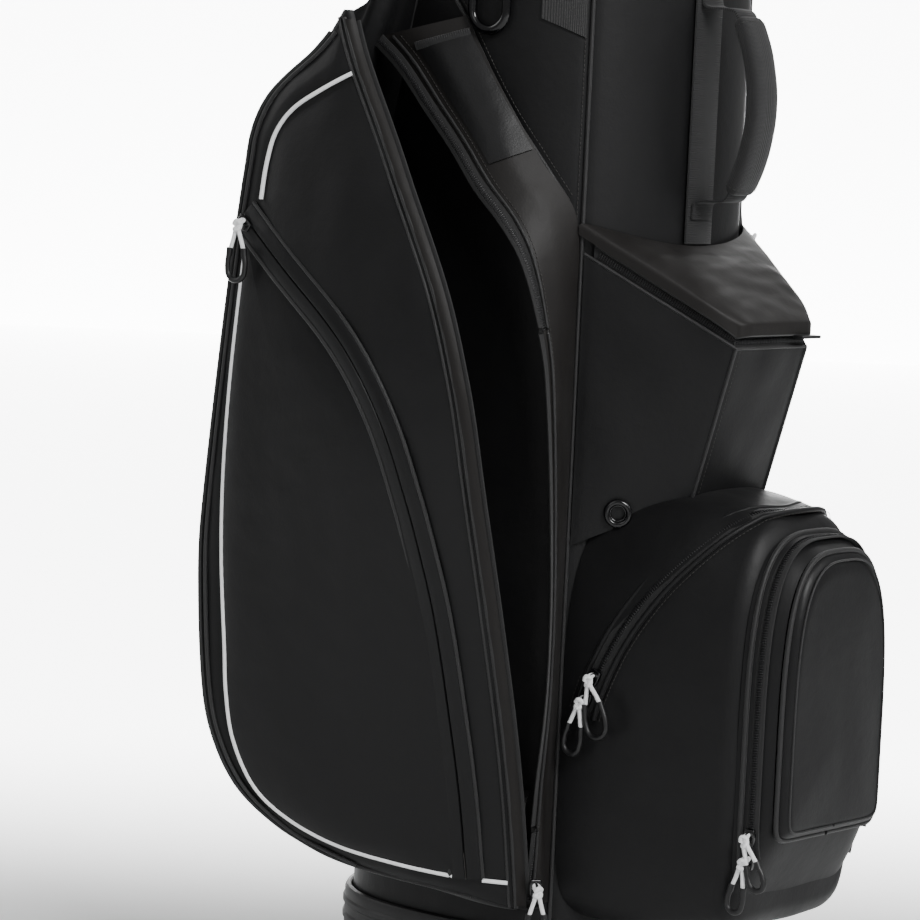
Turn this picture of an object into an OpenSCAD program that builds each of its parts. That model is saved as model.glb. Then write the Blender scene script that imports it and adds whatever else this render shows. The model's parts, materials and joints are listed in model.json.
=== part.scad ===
// Cart bag for golf clubs with a shoe compartment on its left side.
// +Z is up, the ball pocket and the handle face -Y, the shoe compartment is on -X.
// The origin is the centre of the base, on the ground.

/* [Tube] */
// Half width of the tube, across the bag
tube_a = 138; // [130:1:145]
// Half depth of the tube, front to back
tube_b = 140; // [132:1:147]
// Squareness of the tube's outline
tube_n = 2.5; // [2.2:0.1:3]
// Top of the fabric skin
skin_top = 850; // [840:1:870]
// Overall height
bag_h = 920; // [910:1:940]

/* [Base] */
// Height of the moulded base cup
base_h = 84; // [70:1:88]
// How far the base stands proud of the tube
base_flare = 6; // [4:1:9]

/* [Shoe door] */
// Hinge line of the shoe door, across the bag
door_x = -262; // [-268:1:-255]
// Hinge line of the shoe door, front to back
door_y = 149; // [143:1:153]
// Thickness of the padded door
door_t = 5; // [3:0.5:7]
// How far the middle of the door stands out from its edges
door_crown = 14; // [6:1:20]

/* [Ball pocket] */
// Front face of the ball pocket
ball_y = -268; // [-275:1:-255]
// Top of the ball pocket
ball_top = 448; // [440:1:452]
// Half width of the ball pocket's front
ball_w = 84; // [78:1:88]

/* [Front pocket] */
// Outside face of the front pocket's flap
flap_y = -298; // [-304:1:-292]
// Half width of the flap
flap_w = 67; // [60:1:70]
// Seam under the flap, where it folds
flap_z = 182; // [170:1:190]
// Top of the flap's arch
flap_top = 406; // [398:1:410]

/* [Valuables pocket] */
// Half width of the pocket's front
mid_w = 48; // [42:1:54]
// Front edge of the pocket's rim
mid_y = -221; // [-226:1:-214]
// Height of the lid's seam on the tube
lid_rear_z = 643; // [640:1:646]

/* [Handle] */
// Distance of the grip's middle from the tube
grip_out = 60; // [50:1:66]
// Half the distance between the handle's ends
grip_half = 78; // [70:1:84]
// Height of the handle's middle
grip_z = 750; // [746:1:754]

/* [Hidden] */

fabric = "#242424";
gap = 0.4;
skin_t = 1.6;
liner_t = 2.6;

// ---- curves and surfaces ----

// Index of the stretch of a key list that holds x
function key_at(x, k, i = 0) = (i >= len(k) - 2 || x < k[i + 1][0]) ? i : key_at(x, k, i + 1);
function key_slope(k, i) =
    let (a = max(i - 1, 0), b = min(i + 1, len(k) - 1)) (k[b][1] - k[a][1]) / (k[b][0] - k[a][0]);
// A smooth value that passes through the keys [x, value]
function curve(x, k) =
    let (
        i = key_at(x, k),
        h = k[i + 1][0] - k[i][0],
        t = max(0, min(1, (x - k[i][0]) / h)),
        m0 = key_slope(k, i) * h,
        m1 = key_slope(k, i + 1) * h
    )
    (2 * t ^ 3 - 3 * t ^ 2 + 1) * k[i][1] + (t ^ 3 - 2 * t ^ 2 + t) * m0
    + (3 * t ^ 2 - 2 * t ^ 3) * k[i + 1][1] + (t ^ 3 - t ^ 2) * m1;

function spow(v, e) = sign(v) * abs(v) ^ e;
function lerp(a, b, t) = a + (b - a) * t;
function unit(v) = v / max(norm(v), 0.000001);
function flat(rows) = [for (r = rows) for (p = r) p];
function halves(q) = [[q[0], q[1], q[2]], [q[0], q[2], q[3]]];
function back(faces) = [for (f = faces) [for (i = [len(f) - 1:-1:0]) f[i]]];
function shift(faces, n) = [for (f = faces) [for (i = f) i + n]];

// The outline of the tube at parameter angle a, moved out by d
function tube_xy(a, d = 0) =
    [(tube_a + d) * spow(cos(a), 2 / tube_n), (tube_b + d) * spow(sin(a), 2 / tube_n)];
function tube_ring(d, steps = 64) = [for (i = [0:steps - 1]) tube_xy(i * 360 / steps, d)];
// How far the tube reaches towards the front at x, and towards a side at y
function tube_front(x) = tube_b * max(0, 1 - abs(x / tube_a) ^ tube_n) ^ (1 / tube_n);
function tube_side(y) = tube_a * max(0, 1 - abs(y / tube_b) ^ tube_n) ^ (1 / tube_n);

// Unit normals of a grid of points
function grid_normal(g, i, j) =
    let (
        r = len(g) - 1,
        c = len(g[0]) - 1,
        along = g[i][min(j + 1, c)] - g[i][max(j - 1, 0)],
        up = g[min(i + 1, r)][j] - g[max(i - 1, 0)][j]
    )
    unit(cross(along, up));
function inset(g, t) =
    [for (i = [0:len(g) - 1]) [for (j = [0:len(g[0]) - 1]) g[i][j] - t * grid_normal(g, i, j)]];

// A closed panel between an outer grid and an inner one
module panel(outer, inner) {
    rows = len(outer);
    cols = len(outer[0]);
    n = rows * cols;
    skin = [
        for (i = [0:rows - 2]) for (j = [0:cols - 2])
            each halves([i * cols + j, (i + 1) * cols + j, (i + 1) * cols + j + 1, i * cols + j + 1])
    ];
    edge = concat(
        [for (j = [0:cols - 2]) j],
        [for (i = [0:rows - 2]) i * cols + cols - 1],
        [for (j = [cols - 1:-1:1]) (rows - 1) * cols + j],
        [for (i = [rows - 1:-1:1]) i * cols]
    );
    rim = [
        for (k = [0:len(edge) - 1])
            let (a = edge[k], b = edge[(k + 1) % len(edge)]) each halves([a, b, b + n, a + n])
    ];
    polyhedron(concat(flat(outer), flat(inner)), concat(skin, back(shift(skin, n)), rim));
}

module sheet(grid, t) {
    panel(grid, inset(grid, t));
}

function mean(ring) = [for (i = [0:2]) [for (p = ring) p[i]] * [for (p = ring) 1] / len(ring)];

// A shell lofted through closed rings, open at its first ring, and closed at its last if cap is true
module shell(outer, inner, cap = true) {
    rows = len(outer);
    cols = len(outer[0]);
    n = rows * cols;
    skin = [
        for (i = [0:rows - 2]) for (j = [0:cols - 1])
            let (k = (j + 1) % cols)
            each halves([i * cols + j, (i + 1) * cols + j, (i + 1) * cols + k, i * cols + k])
    ];
    rim = [
        for (j = [0:cols - 1])
            let (k = (j + 1) % cols) each halves([j, k, k + n, j + n])
    ];
    last = (rows - 1) * cols;
    front = cap
        ? concat(
            [for (j = [0:cols - 1]) [2 * n, last + (j + 1) % cols, last + j]],
            [for (j = [0:cols - 1]) [2 * n + 1, n + last + j, n + last + (j + 1) % cols]]
        )
        : [
            for (j = [0:cols - 1])
                let (k = (j + 1) % cols)
                each halves([last + k, last + j, last + j + n, last + k + n])
        ];
    middles = cap ? [mean(outer[rows - 1]), mean(inner[rows - 1])] : [];
    polyhedron(
        concat(flat(outer), flat(inner), middles),
        concat(skin, back(shift(skin, n)), rim, front)
    );
}

// A section [across, out] carried along a path whose outward normals are given
module sweep(path, normals, section) {
    rows = len(path);
    cols = len(section);
    rings = [
        for (i = [0:rows - 1])
            let (
                t = unit(path[min(i + 1, rows - 1)] - path[max(i - 1, 0)]),
                b = unit(cross(normals[i], t)),
                m = cross(t, b)
            )
            [for (s = section) path[i] + s[0] * b + s[1] * m]
    ];
    skin = [
        for (i = [0:rows - 2]) for (j = [0:cols - 1])
            let (k = (j + 1) % cols)
            each halves([i * cols + j, (i + 1) * cols + j, (i + 1) * cols + k, i * cols + k])
    ];
    ends = [[for (j = [0:cols - 1]) j], [for (j = [cols - 1:-1:0]) (rows - 1) * cols + j]];
    polyhedron(flat(rings), concat(skin, ends));
}

function round_section(r, sides = 6) =
    [for (i = [0:sides - 1]) r * [cos(i * 360 / sides), sin(i * 360 / sides)]];
function flat_section(w, t) = [[-w / 2, 0], [w / 2, 0], [w / 2, t], [-w / 2, t]];

// An arched outline: boxy below its middle height zc, and arched above it
function arch(w, zb, zc, zt, above, below, steps) =
    [
        for (i = [0:steps - 1])
            let (a = i * 360 / steps, up = sin(a) >= 0, n = up ? above : below)
            [w * spow(cos(a), 2 / n), zc + (up ? zt - zc : zc - zb) * spow(sin(a), 2 / n)]
    ];

// ---- the tube and its fittings ----

sole_t = 3;
module base_sole() {
    color("#151515") linear_extrude(sole_t) polygon(tube_ring(-4));
}

module base_cup() {
    color("#1c1c1c") {
        difference() {
            translate([0, 0, sole_t]) linear_extrude(base_h - sole_t) polygon(tube_ring(base_flare));
            translate([0, 0, 8]) linear_extrude(base_h) polygon(tube_ring(0.3));
        }
    }
}

module tube_liner() {
    color("#303030")
    translate([0, 0, 8 + gap]) linear_extrude(skin_top + 20 - 8)
        difference() {
            polygon(tube_ring(-skin_t - gap));
            polygon(tube_ring(-skin_t - gap - liner_t));
        }
}

module outer_skin() {
    color(fabric)
    translate([0, 0, 8 + gap]) linear_extrude(skin_top - 8 - 2 * gap)
        difference() {
            polygon(tube_ring(0));
            polygon(tube_ring(-skin_t));
        }
}

collar_h = bag_h - skin_top;
module top_collar() {
    color("#1b1b1b")
    translate([0, 0, skin_top]) {
        difference() {
            linear_extrude(collar_h) polygon(tube_ring(7));
            translate([0, 0, 21]) linear_extrude(collar_h) polygon(tube_ring(0));
            translate([0, 0, -1]) linear_extrude(collar_h) polygon(tube_ring(-skin_t));
        }
        for (side = [-1, 1])
            translate([0, side * (tube_b + 22), collar_h - 18])
                difference() {
                    translate([-62, -22, 0]) cube([124, 44, 14]);
                    translate([-46, -11, -1]) cube([92, 22, 16]);
                }
    }
}

// Walls of the club compartments: three across, and the partitions of the four rows between them
row_y = [-70, 0, 70];
row_parts = [[-42, 42], [-66, 0, 66], [-66, 0, 66], [-42, 42]];
row_ends = [-tube_b + 10, -70, 0, 70, tube_b - 10];

function wall_half(y) = tube_side(min(abs(y), tube_b - 10)) - 7;

module divider_grid(t, h, tight) {
    for (y = row_y)
        translate([-wall_half(y), y - t / 2, 0]) cube([2 * wall_half(y), t, h]);
    for (r = [0:3]) for (x = row_parts[r])
        let (
            low = r == 0 ? -tube_front(x) + tight : row_ends[r] + t / 2 + gap,
            high = r == 3 ? tube_front(x) - tight : row_ends[r + 1] - t / 2 - gap
        )
        translate([x - t / 2, low, 0]) cube([t, high - low, h]);
}

module divider_top() {
    color("#222222")
    translate([0, 0, skin_top + 28]) divider_grid(8, 22, 7);
}

module club_dividers() {
    color("#101010")
    translate([0, 0, 12]) divider_grid(2.4, skin_top + 14, 7);
}

module spine_panel() {
    color(fabric)
    translate([-38, tube_b - 3, base_h + 30])
        difference() {
            cube([76, 13, skin_top - base_h - 80]);
            translate([-1, -1, -1]) cube([78, 4.4, skin_top]);
        }
}

slot_at = [-tube_a - 0.5, -30, 825];
module cart_strap_slot() {
    color("#0c0c0c")
    translate(slot_at) rotate([0, -90, 0])
        difference() {
            linear_extrude(5) hull() {
                translate([-14, 0]) circle(r = 15, $fn = 48);
                translate([10, 0]) circle(r = 15, $fn = 48);
            }
            translate([0, 0, -1]) linear_extrude(7) hull() {
                translate([-14, 0]) circle(r = 9.5, $fn = 48);
                translate([10, 0]) circle(r = 9.5, $fn = 48);
            }
        }
}

// A point on the skin at parameter angle a and height z, moved out by d
function skin_at(a, z, d) = let (p = tube_xy(a, d)) [p[0], p[1], z];
function skin_normal(a) = let (d = tube_xy(a + 2) - tube_xy(a - 2)) unit([d[1], -d[0], 0]);

module glove_patch() {
    grid = [
        for (v = [0:0.5:1])
            [for (s = [0:0.25:1]) skin_at(206 + 17 * s, lerp(812 - 14 * s, skin_top - 3, v), 2)]
    ];
    color("#181818") sheet(grid, 1.4);
}

module ring_at(p, direction, r, bore, t) {
    translate(p) rotate([0, 90, direction])
        difference() {
            cylinder(h = t, r = r, $fn = 48);
            translate([0, 0, -1]) cylinder(h = t + 2, r = bore, $fn = 48);
        }
}

// Seams of the skin: two upright ones at the front, and the diagonal one over the shoe gusset
seam_a = 225;
diagonal = [[178, 830], [184, 792], [195, 744], [208, 703], [224, 655]];
module seam_piping() {
    color("#161616") {
        for (a = [seam_a, 540 - seam_a])
            sweep(
                [for (z = [base_h + 4:60:skin_top - 2]) skin_at(a, z, 1.4)],
                [for (z = [base_h + 4:60:skin_top - 2]) skin_normal(a)],
                round_section(1.3)
            );
        sweep(
            [for (a = [178:4:218]) skin_at(a, curve(a, diagonal), 1.4)],
            [for (a = [178:4:218]) skin_normal(a)],
            round_section(1.3)
        );
    }
}

// ---- shoe compartment: the door ----

// Angle of the door's chord from the -Y direction, its front edge and its rear edge, at height z
door_turn = [[103, 27], [200, 22.5], [340, 13], [460, 5], [560, 2], [660, 2.5], [740, 6], [812, 11]];
door_front = [[103, 284], [200, 279], [340, 273], [470, 269], [530, 261], [600, 239], [690, 190], [773, 140],
    [812, 122]];
door_rear = [[103, 268], [112, 226], [124, 150], [138, 106], [156, 71], [183, 39], [222, 17], [262, 7],
    [346, 0], [400, 0], [552, 15], [690, 33], [718, 38], [746, 54], [767, 78], [785, 98], [812, 114]];
door_levels = [104, 108, 112, 118, 124, 131, 140, 150, 162, 180, 200, 230, 265, 305, 345, 385, 425, 465,
    505, 540,
    575, 610, 645, 680, 705, 730, 750, 765, 780, 795, 810];

// A point on the door, u from its hinge and at height z, moved out by d
function door_at(u, z, d = 0) =
    let (
        a = curve(z, door_turn),
        r = curve(z, door_rear),
        f = curve(z, door_front),
        s = max(0, min(1, (u - r) / max(f - r, 1))),
        out = d + door_crown * sin(180 * s) * min(1, (f - r) / 200)
    )
    [door_x + u * sin(a) - out * cos(a), door_y - u * cos(a) - out * sin(a), z];
function door_normal(z) = let (a = curve(z, door_turn)) [-cos(a), -sin(a), 0];

function door_grid(levels, from, to, d, steps) =
    [
        for (z = levels)
            let (r = curve(z, door_rear), f = curve(z, door_front))
            [for (j = [0:steps]) door_at(lerp(r + from, f - to, j / steps), z, d)]
    ];

module shoe_door() {
    color(fabric) sheet(door_grid(door_levels, 0, 0, 0, 12), door_t);
}

lining_levels = [for (z = [230:65:750]) z];
module door_lining() {
    color("#0b0b0b") sheet(door_grid(lining_levels, 24, 20, -door_t - 0.3, 8), 1.2);
}

// The door's outline from its lower front corner, along the bottom, up the rear and over the top
outline_levels = [for (i = [0:2:len(door_levels) - 1]) door_levels[i]];
module door_piping() {
    rear = [for (z = outline_levels) door_at(curve(z, door_rear), z, 1.8)];
    front = [for (z = outline_levels) door_at(curve(z, door_front) - 2, z, 1.8)];
    color("#121212") {
        sweep(rear, [for (z = outline_levels) door_normal(z)], round_section(1.6));
        sweep(front, [for (z = outline_levels) door_normal(z)], round_section(1.6));
    }
}

tape_levels = [for (z = [140:50:790]) z];
module door_zip_tape() {
    color("#0e0e0e")
    panel(
        [for (z = tape_levels) [for (e = [-1, -9]) door_at(curve(z, door_front) + e, z, -door_t - 0.4)]],
        [for (z = tape_levels) [for (e = [-1, -9]) door_at(curve(z, door_front) + e, z, -door_t - 2.4)]]
    );
}

// The insulated pocket on the door: its zip runs from the rear, over the top, to the lower front corner
isotherm_zip = [[40, 646], [84, 613], [138, 570], [170, 533], [194, 488], [209, 436], [218, 383], [224, 331],
    [229, 255], [233, 200], [238, 128]];
// How far the pocket reaches towards the front at height z
isotherm_front = [[128, 238], [200, 233], [255, 229], [331, 224], [383, 218], [436, 209], [488, 194],
    [533, 170],
    [570, 138], [613, 84], [646, 40]];
isotherm_levels = [134, 142, 152, 165, 185, 215, 255, 305, 355, 405, 455, 495, 530, 560, 590, 615];
module isotherm_panel() {
    outer = [
        for (z = isotherm_levels)
            let (r = curve(z, door_rear) + 30, f = curve(z, isotherm_front) - 7)
            [
                for (j = [0:8])
                    let (s = j / 8)
                    door_at(lerp(r, f, s), z, 1.2 + 5.5 * min(1, 4 * s, 4 * (1 - s)))
            ]
    ];
    inner = [
        for (z = isotherm_levels)
            let (r = curve(z, door_rear) + 30, f = curve(z, isotherm_front) - 7)
            [for (j = [0:8]) door_at(lerp(r, f, j / 8), z, 0.3)]
    ];
    color("#272727") panel(outer, inner);
}

module isotherm_zip_tape() {
    path = [for (k = isotherm_zip) door_at(k[0], k[1], 0.4)];
    color("#0e0e0e") sweep(path, [for (k = isotherm_zip) door_normal(k[1])], flat_section(9, 1.6));
}

// The reflective piping runs inside the door's rear edge, and stops at the pocket's zip
piping_upper = [[133, 762], [110, 749], [83, 732], [67, 712], [60, 687], [57, 662]];
piping_lower = [[39, 598], [30, 520], [25, 440], [25, 370], [29, 300], [31, 260], [38, 221], [57, 184],
    [88, 160],
    [131, 143], [180, 134], [226, 128]];
piping_corner = [[247, 126], [268, 125]];
module reflective_piping() {
    color("#e8e8e8")
    for (run = [piping_upper, piping_lower, piping_corner])
        sweep(
            [for (k = run) door_at(k[0], k[1], 1.6)],
            [for (k = run) door_normal(k[1])],
            round_section(1.2)
        );
}

// ---- shoe compartment: the fixed panels ----

// Edge of the front gusset that zips to the door, and the seam that joins it to the tube
edge_x = [[108, -123], [150, -126], [200, -131], [285, -134], [387, -135], [531, -145], [585, -150],
    [652, -158],
    [708, -162], [792, -165]];
edge_y = [[108, -99], [150, -104], [200, -110], [285, -118], [387, -117], [531, -112], [585, -102],
    [625, -89], [652, -70],
    [678, -44], [708, -20], [740, 10], [772, 40], [792, 66]];
function edge_at(z) = [curve(z, edge_x), curve(z, edge_y), z];
seam_turn = [[100, 224], [600, 224], [660, 222], [700, 209], [745, 196], [790, 185], [830, 178]];
function seam_at(z) = skin_at(curve(z, seam_turn), z, 3);
gusset_levels = [for (i = [0:18]) lerp(108, 792, i / 18)];

module shoe_front_gusset() {
    grid = [
        for (z = gusset_levels)
            let (e = edge_at(z), s = seam_at(z + (z > 640 ? 20 : 0)))
            [for (t = [0:0.25:1]) lerp(e, s, t) + [-5, -3, 0] * sin(180 * t)]
    ];
    color(fabric) sheet(grid, 2);
}

module shoe_slip_pocket() {
    grid = [
        for (z = [700:20:780])
            let (e = edge_at(z), s = seam_at(z + 20))
            [for (t = [0.25:0.25:1]) lerp(e, s, t) + [-5, -3, 0] * sin(180 * t) + [-0.7, -1.5, 0]]
    ];
    color("#202020") sheet(grid, 1);
}

// The bellows behind the door: its outer edge follows the door's outline, its inner edge the tube
rear_levels = [170, 190, 215, 250, 300, 350, 400, 450, 500, 550, 600, 650, 690, 715, 735, 755, 775, 792, 806];
module shoe_rear_gusset() {
    grid = [
        for (z = rear_levels)
            let (
                d = door_at(curve(z, door_rear) + 3, z, -door_t - 4),
                a = curve(z, [[170, 140], [650, 140], [806, 165]]),
                s = skin_at(a, z, 3)
            )
            [for (t = [0:0.25:1]) lerp(s, d, t) + [0, 10, 0] * sin(180 * t) * min(1, norm(d - s) / 120)]
    ];
    color("#1d1d1d") sheet(grid, 2);
}

floor_keys = [[0, 110], [1, 112], [2, 116], [3, 122], [4, 131], [5, 148], [6, 168]];
module shoe_floor() {
    grid = [
        for (i = [0:12])
            let (
                k = i / 2,
                z = curve(k, floor_keys),
                d = door_at(curve(z, door_rear) + 6, z + 4, -door_t - 12),
                s = skin_at(lerp(222, 140, i / 12), lerp(102, 158, (i / 12) ^ 2), 3)
            )
            [for (t = [0:0.25:1]) lerp(d, s, t) - [0, 0, 5] * sin(180 * t)]
    ];
    color("#141414") sheet(grid, 2);
}

module shoe_zip_tape() {
    levels = [for (i = [1:16]) lerp(112, 788, i / 16)];
    color("#0e0e0e")
    panel(
        [for (z = levels) [for (t = [-7, -0.6]) edge_at(z) + [t * 0.75, -t * 0.3 + 1, 0] + [-1, -2, 0]]],
        [for (z = levels) [for (t = [-7, -0.6]) edge_at(z) + [t * 0.75, -t * 0.3 + 1, 0] + [-0.5, -0.4, 0]]]
    );
}

// ---- zip sliders and pulls ----

// A slider whose travel is along its own Z, facing its own +X
module slider_body() {
    color("#0a0a0a") {
        translate([1, -4.5, -6.5]) cube([2.8, 9, 13]);
        difference() {
            translate([3.8, -1.6, -5]) cube([4.2, 3.2, 10]);
            translate([3.2, -2, -2.6]) cube([3, 4, 5.2]);
        }
    }
}

// A pull that hangs in front of the slider's bridge: a knot that it swings on, cord, then a rubber loop
pull_drop = 26;
pull_x = 10.2;
module pull_body(loop = 9) {
    color("#e8e8e8")
    translate([pull_x, 0, 0]) {
        sphere(r = 2, $fn = 24);
        translate([0, 0, -pull_drop]) cylinder(h = pull_drop, r = 1.4, $fn = 24);
    }
    color("#111111")
    translate([pull_x, 0, -pull_drop - loop - 1.4])
        rotate([0, 90, 0]) rotate_extrude($fn = 48) translate([loop, 0]) circle(r = 2.4, $fn = 24);
}

// direction is the compass angle that the slider faces, lean tips its travel from upright
module at_zip(p, direction, lean) {
    translate(p) rotate([0, 0, direction]) rotate([lean, 0, 0]) children();
}
module hang_at(p, direction, lean = 0) {
    translate(p) rotate([0, 0, direction]) rotate([lean, 0, 0]) children();
}

iso_u = 43;
iso_z = 640;
iso_p = door_at(iso_u, iso_z, 3);
iso_dir = 180 + 3;
module isotherm_slider() { at_zip(iso_p, iso_dir, 56) slider_body(); }
module isotherm_pull() { hang_at(iso_p, iso_dir) pull_body(); }

shoe_p = edge_at(122) + [-7, -10, 0];
shoe_dir = 180 + 52;
module shoe_slider() { at_zip(shoe_p, shoe_dir, 0) slider_body(); }
module shoe_pull() { hang_at(shoe_p, shoe_dir) pull_body(); }

// ---- handle ----

handle_low = grip_z - grip_half;
handle_high = grip_z + grip_half;
module handle_anchors() {
    color("#141414")
    for (z = [handle_low - 30, handle_high - 8])
        translate([-15, -tube_b - 2.6, z]) cube([30, 2.2, 28]);
}

// Each strap narrows to its root, so that it turns clear of the patch it is sewn to
module handle_straps() {
    color("#161616")
    for (z = [handle_low - 4, handle_high])
        translate([0, -tube_b, z]) linear_extrude(4)
            polygon([[-3, -5], [3, -5], [14, -16], [14, -30], [-14, -30], [-14, -16]]);
}

module handle_grip() {
    steps = 14;
    path = [
        for (i = [0:steps])
            let (a = -180 * (i / steps) + 90, k = spow(cos(a), 0.55))
            [0, -tube_b - 24 - (grip_out - 24) * k, grip_z + (grip_half - 5) * spow(sin(a), 0.9)]
    ];
    normals = [for (p = path) unit([0, -1, (p[2] - grip_z) / grip_half])];
    section = [for (i = [0:11]) [17 * cos(i * 30), 12.5 * sin(i * 30)]];
    color("#1a1a1a") sweep(path, normals, section);
}

// ---- valuables pocket ----

walls_low = [[-104, -113, 402], [-mid_w, -186, 448], [mid_w, -186, 448], [104, -113, 402]];
walls_high = [[-104, -113, 626], [-mid_w, mid_y, 560], [mid_w, mid_y, 560], [104, -113, 626]];
wall_s = [0, 0.33, 0.66, 0.94, 1.03, 1.25, 1.5, 1.75, 1.97, 2.06, 2.34, 2.67, 3];
function along(keys, s) = let (i = min(floor(s), 2)) lerp(keys[i], keys[i + 1], s - i);
module valuables_walls() {
    grid = [for (v = [0:0.2:1]) [for (s = wall_s) lerp(along(walls_low, s), along(walls_high, s), v)]];
    color(fabric) sheet(grid, 3);
}

module valuables_floor() {
    color("#161616")
    translate([0, 0, 456]) linear_extrude(3)
        polygon(concat(
            [[-mid_w + 5, -180], [mid_w - 5, -180], [76, -142]],
            [for (x = [76:-19:-76]) [x, -tube_front(x) - 1.2]],
            [[-76, -142]]
        ));
}

// The lid drapes from the tube over the rim: v runs from the tube to the front edge, s from side to side
function lid_at(s, v) =
    let (
        w = min(v, 1),
        z = lerp(lid_rear_z, lid_rear_z - 68, w) + 8 * sin(180 * w) - lerp(22, 3, w) * abs(s) ^ 2.5
    )
    [s * lerp(92, mid_w + 6, w), lerp(-tube_b - 7, mid_y - 4, w) - 20 * (v - w), z - 90 * (v - w)];
module valuables_lid() {
    grid = [for (v = [1.1, 1, 0.85, 0.65, 0.45, 0.22, 0]) [for (s = [-1:0.2:1]) lid_at(s, v)]];
    color("#2b2a29") sheet(grid, 4);
}

module valuables_zip_tape() {
    levels = [for (s = wall_s) along(walls_high, s) + [0, -0.6, -8]];
    normals = [for (s = wall_s) s < 1 ? [-0.89, -0.45, 0] : s > 2 ? [0.89, -0.45, 0] : [0, -1, 0]];
    inner = [for (i = [1:len(wall_s) - 2]) i];
    color("#0e0e0e")
    sweep([for (i = inner) levels[i] + 0.8 * normals[i]], [for (i = inner) normals[i]],
        [[-3.5, 0], [3.5, 0], [3.5, 1.4], [-3.5, 1.4]]);
}

// The slider rests on the right-hand wall and runs along its sloping rim
val_dir = -26.8;
val_p = along(walls_high, 2.4) + [3, -1.5, -8];
module valuables_slider() { at_zip(val_p, val_dir, -61.5) slider_body(); }
module valuables_pull() { hang_at(val_p, val_dir) pull_body(7); }

// ---- ball pocket ----

function ball_ring(t, grow) =
    let (
        nose = t > 0.9 ? (t - 0.9) * 90 : 0,
        w = lerp(104, ball_w, t) - nose + grow,
        top = ball_top + 6 * sin(180 * t) - 14 * t - nose + grow,
        low = lerp(90, 108, t ^ 2) + nose - grow,
        y1 = ball_y - grow
    )
    [
        for (p = arch(w, low, 235, top, lerp(4.2, 3.2, t), 7, 40))
            let (y0 = -tube_front(min(abs(p[0]), 107)) - 2)
            [p[0], lerp(y0, y1, t), p[1]]
    ];
ball_steps = [0, 0.2, 0.4, 0.6, 0.8, 0.9, 0.95, 1];
module ball_pocket() {
    color(fabric)
    shell([for (t = ball_steps) ball_ring(t, 0)], [for (t = ball_steps) ball_ring(t, -3)]);
}

// The zip climbs the side walls and crosses the top: s from 0 at its lower left end to 1 at the middle
ball_zip_z = [[0, 200], [0.12, 262], [0.27, 318], [0.42, 366], [0.57, 404], [0.72, 428], [0.86, 440],
    [1, 446]];
ball_zip_y = [[0, -124], [0.12, -131], [0.27, -152], [0.42, -182], [0.57, -214], [0.72, -236],
    [0.86, -246], [1, -250]];
// Half width of the ball pocket's surface at a height and a depth
function ball_side(y, z) =
    let (
        t = max(0, min(0.9, (-y - 112) / (-ball_y - 112))),
        w = lerp(104, ball_w, t),
        top = ball_top + 6 * sin(180 * t) - 14 * t,
        n = lerp(4.2, 3.2, t),
        v = max(0, min(0.9999, (z - 235) / (top - 235)))
    )
    w * (1 - v ^ n) ^ (1 / n);
function ball_zip_at(s) =
    let (z = curve(s, ball_zip_z), y = curve(s, ball_zip_y)) [-ball_side(y, z) - 1.2, y, z];
// The whole zip: up the left wall, across the top, and down the right wall
function flip(p) = [-p[0], p[1], p[2]];
zip_s = [for (i = [0:11]) 0.13 + 0.058 * i];
zip_half = [for (s = zip_s) ball_zip_at(s)];
zip_half_n = [for (s = zip_s) unit([-1, 0, 1.6 * s ^ 2])];
function ball_crest(x, y) =
    let (
        t = (-y - 112) / (-ball_y - 112),
        top = ball_top + 6 * sin(180 * t) - 14 * t,
        n = lerp(4.2, 3.2, t)
    )
    235 + (top - 235) * (1 - (abs(x) / lerp(104, ball_w, t)) ^ n) ^ (1 / n);
zip_top = [for (x = [-45:15:0]) [x, -250, ball_crest(x, -250) + 1]];
zip_top_n = [for (x = [-45:15:0]) unit([x / 60, 0, 1])];
zip_path = concat(zip_half, zip_top, [for (i = [2:-1:0]) flip(zip_top[i])],
    [for (i = [11:-1:0]) flip(zip_half[i])]);
zip_out = concat(zip_half_n, zip_top_n, [for (i = [2:-1:0]) flip(zip_top_n[i])],
    [for (i = [11:-1:0]) flip(zip_half_n[i])]);
module ball_zip_tape() {
    color("#0e0e0e")
    sweep([for (i = [0:len(zip_path) - 1]) zip_path[i] + 0.6 * zip_out[i]], zip_out, flat_section(10, 1.6));
}
module ball_piping() {
    n = len(zip_path) - 1;
    color("#121212")
    sweep([for (i = [0:n]) zip_path[i] + 1.6 * zip_out[i] + [0, -9, 7]], zip_out, round_section(1.5));
}

ball_low_s = 0.15;
ball_high_s = 0.2;
// Neighbouring pulls hang splayed, so that each swings clear of the other
splay = [16, -10];
ball_low_p = ball_zip_at(ball_low_s) + [-2.6, 0, 0];
ball_high_p = ball_zip_at(ball_high_s) + [-2.6, 0, 0];
module ball_slider_lower() { at_zip(ball_low_p, 180, -14) slider_body(); }
module ball_pull_lower() { hang_at(ball_low_p, 180, splay[1]) pull_body(8); }
module ball_slider_upper() { at_zip(ball_high_p, 180, -22) slider_body(); }
module ball_pull_upper() { hang_at(ball_high_p, 180, splay[0]) pull_body(10); }

// ---- front pocket ----

function front_ring(t, grow) =
    let (
        y = lerp(ball_y - 0.6, flap_y + 6, t),
        w = lerp(80, flap_w + 1, t) + grow,
        low = lerp(126, flap_z - 1, t) - grow,
        top = lerp(420, flap_top + 1, t) + grow
    )
    [for (p = arch(w, low, 250, top, 3.2, 7, 40)) [p[0], y, p[1]]];
module front_gusset() {
    rings = [0, 0.25, 0.5, 0.75, 1];
    color("#222222")
    shell([for (t = rings) front_ring(t, 0)], [for (t = rings) front_ring(t, -3)], cap = false);
}

module front_flap() {
    color("#262626")
    translate([0, flap_y, 0]) rotate([90, 0, 0]) translate([0, 0, -5]) linear_extrude(5)
        polygon(arch(flap_w, flap_z, 250, flap_top, 3.2, 7, 48));
}

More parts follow.
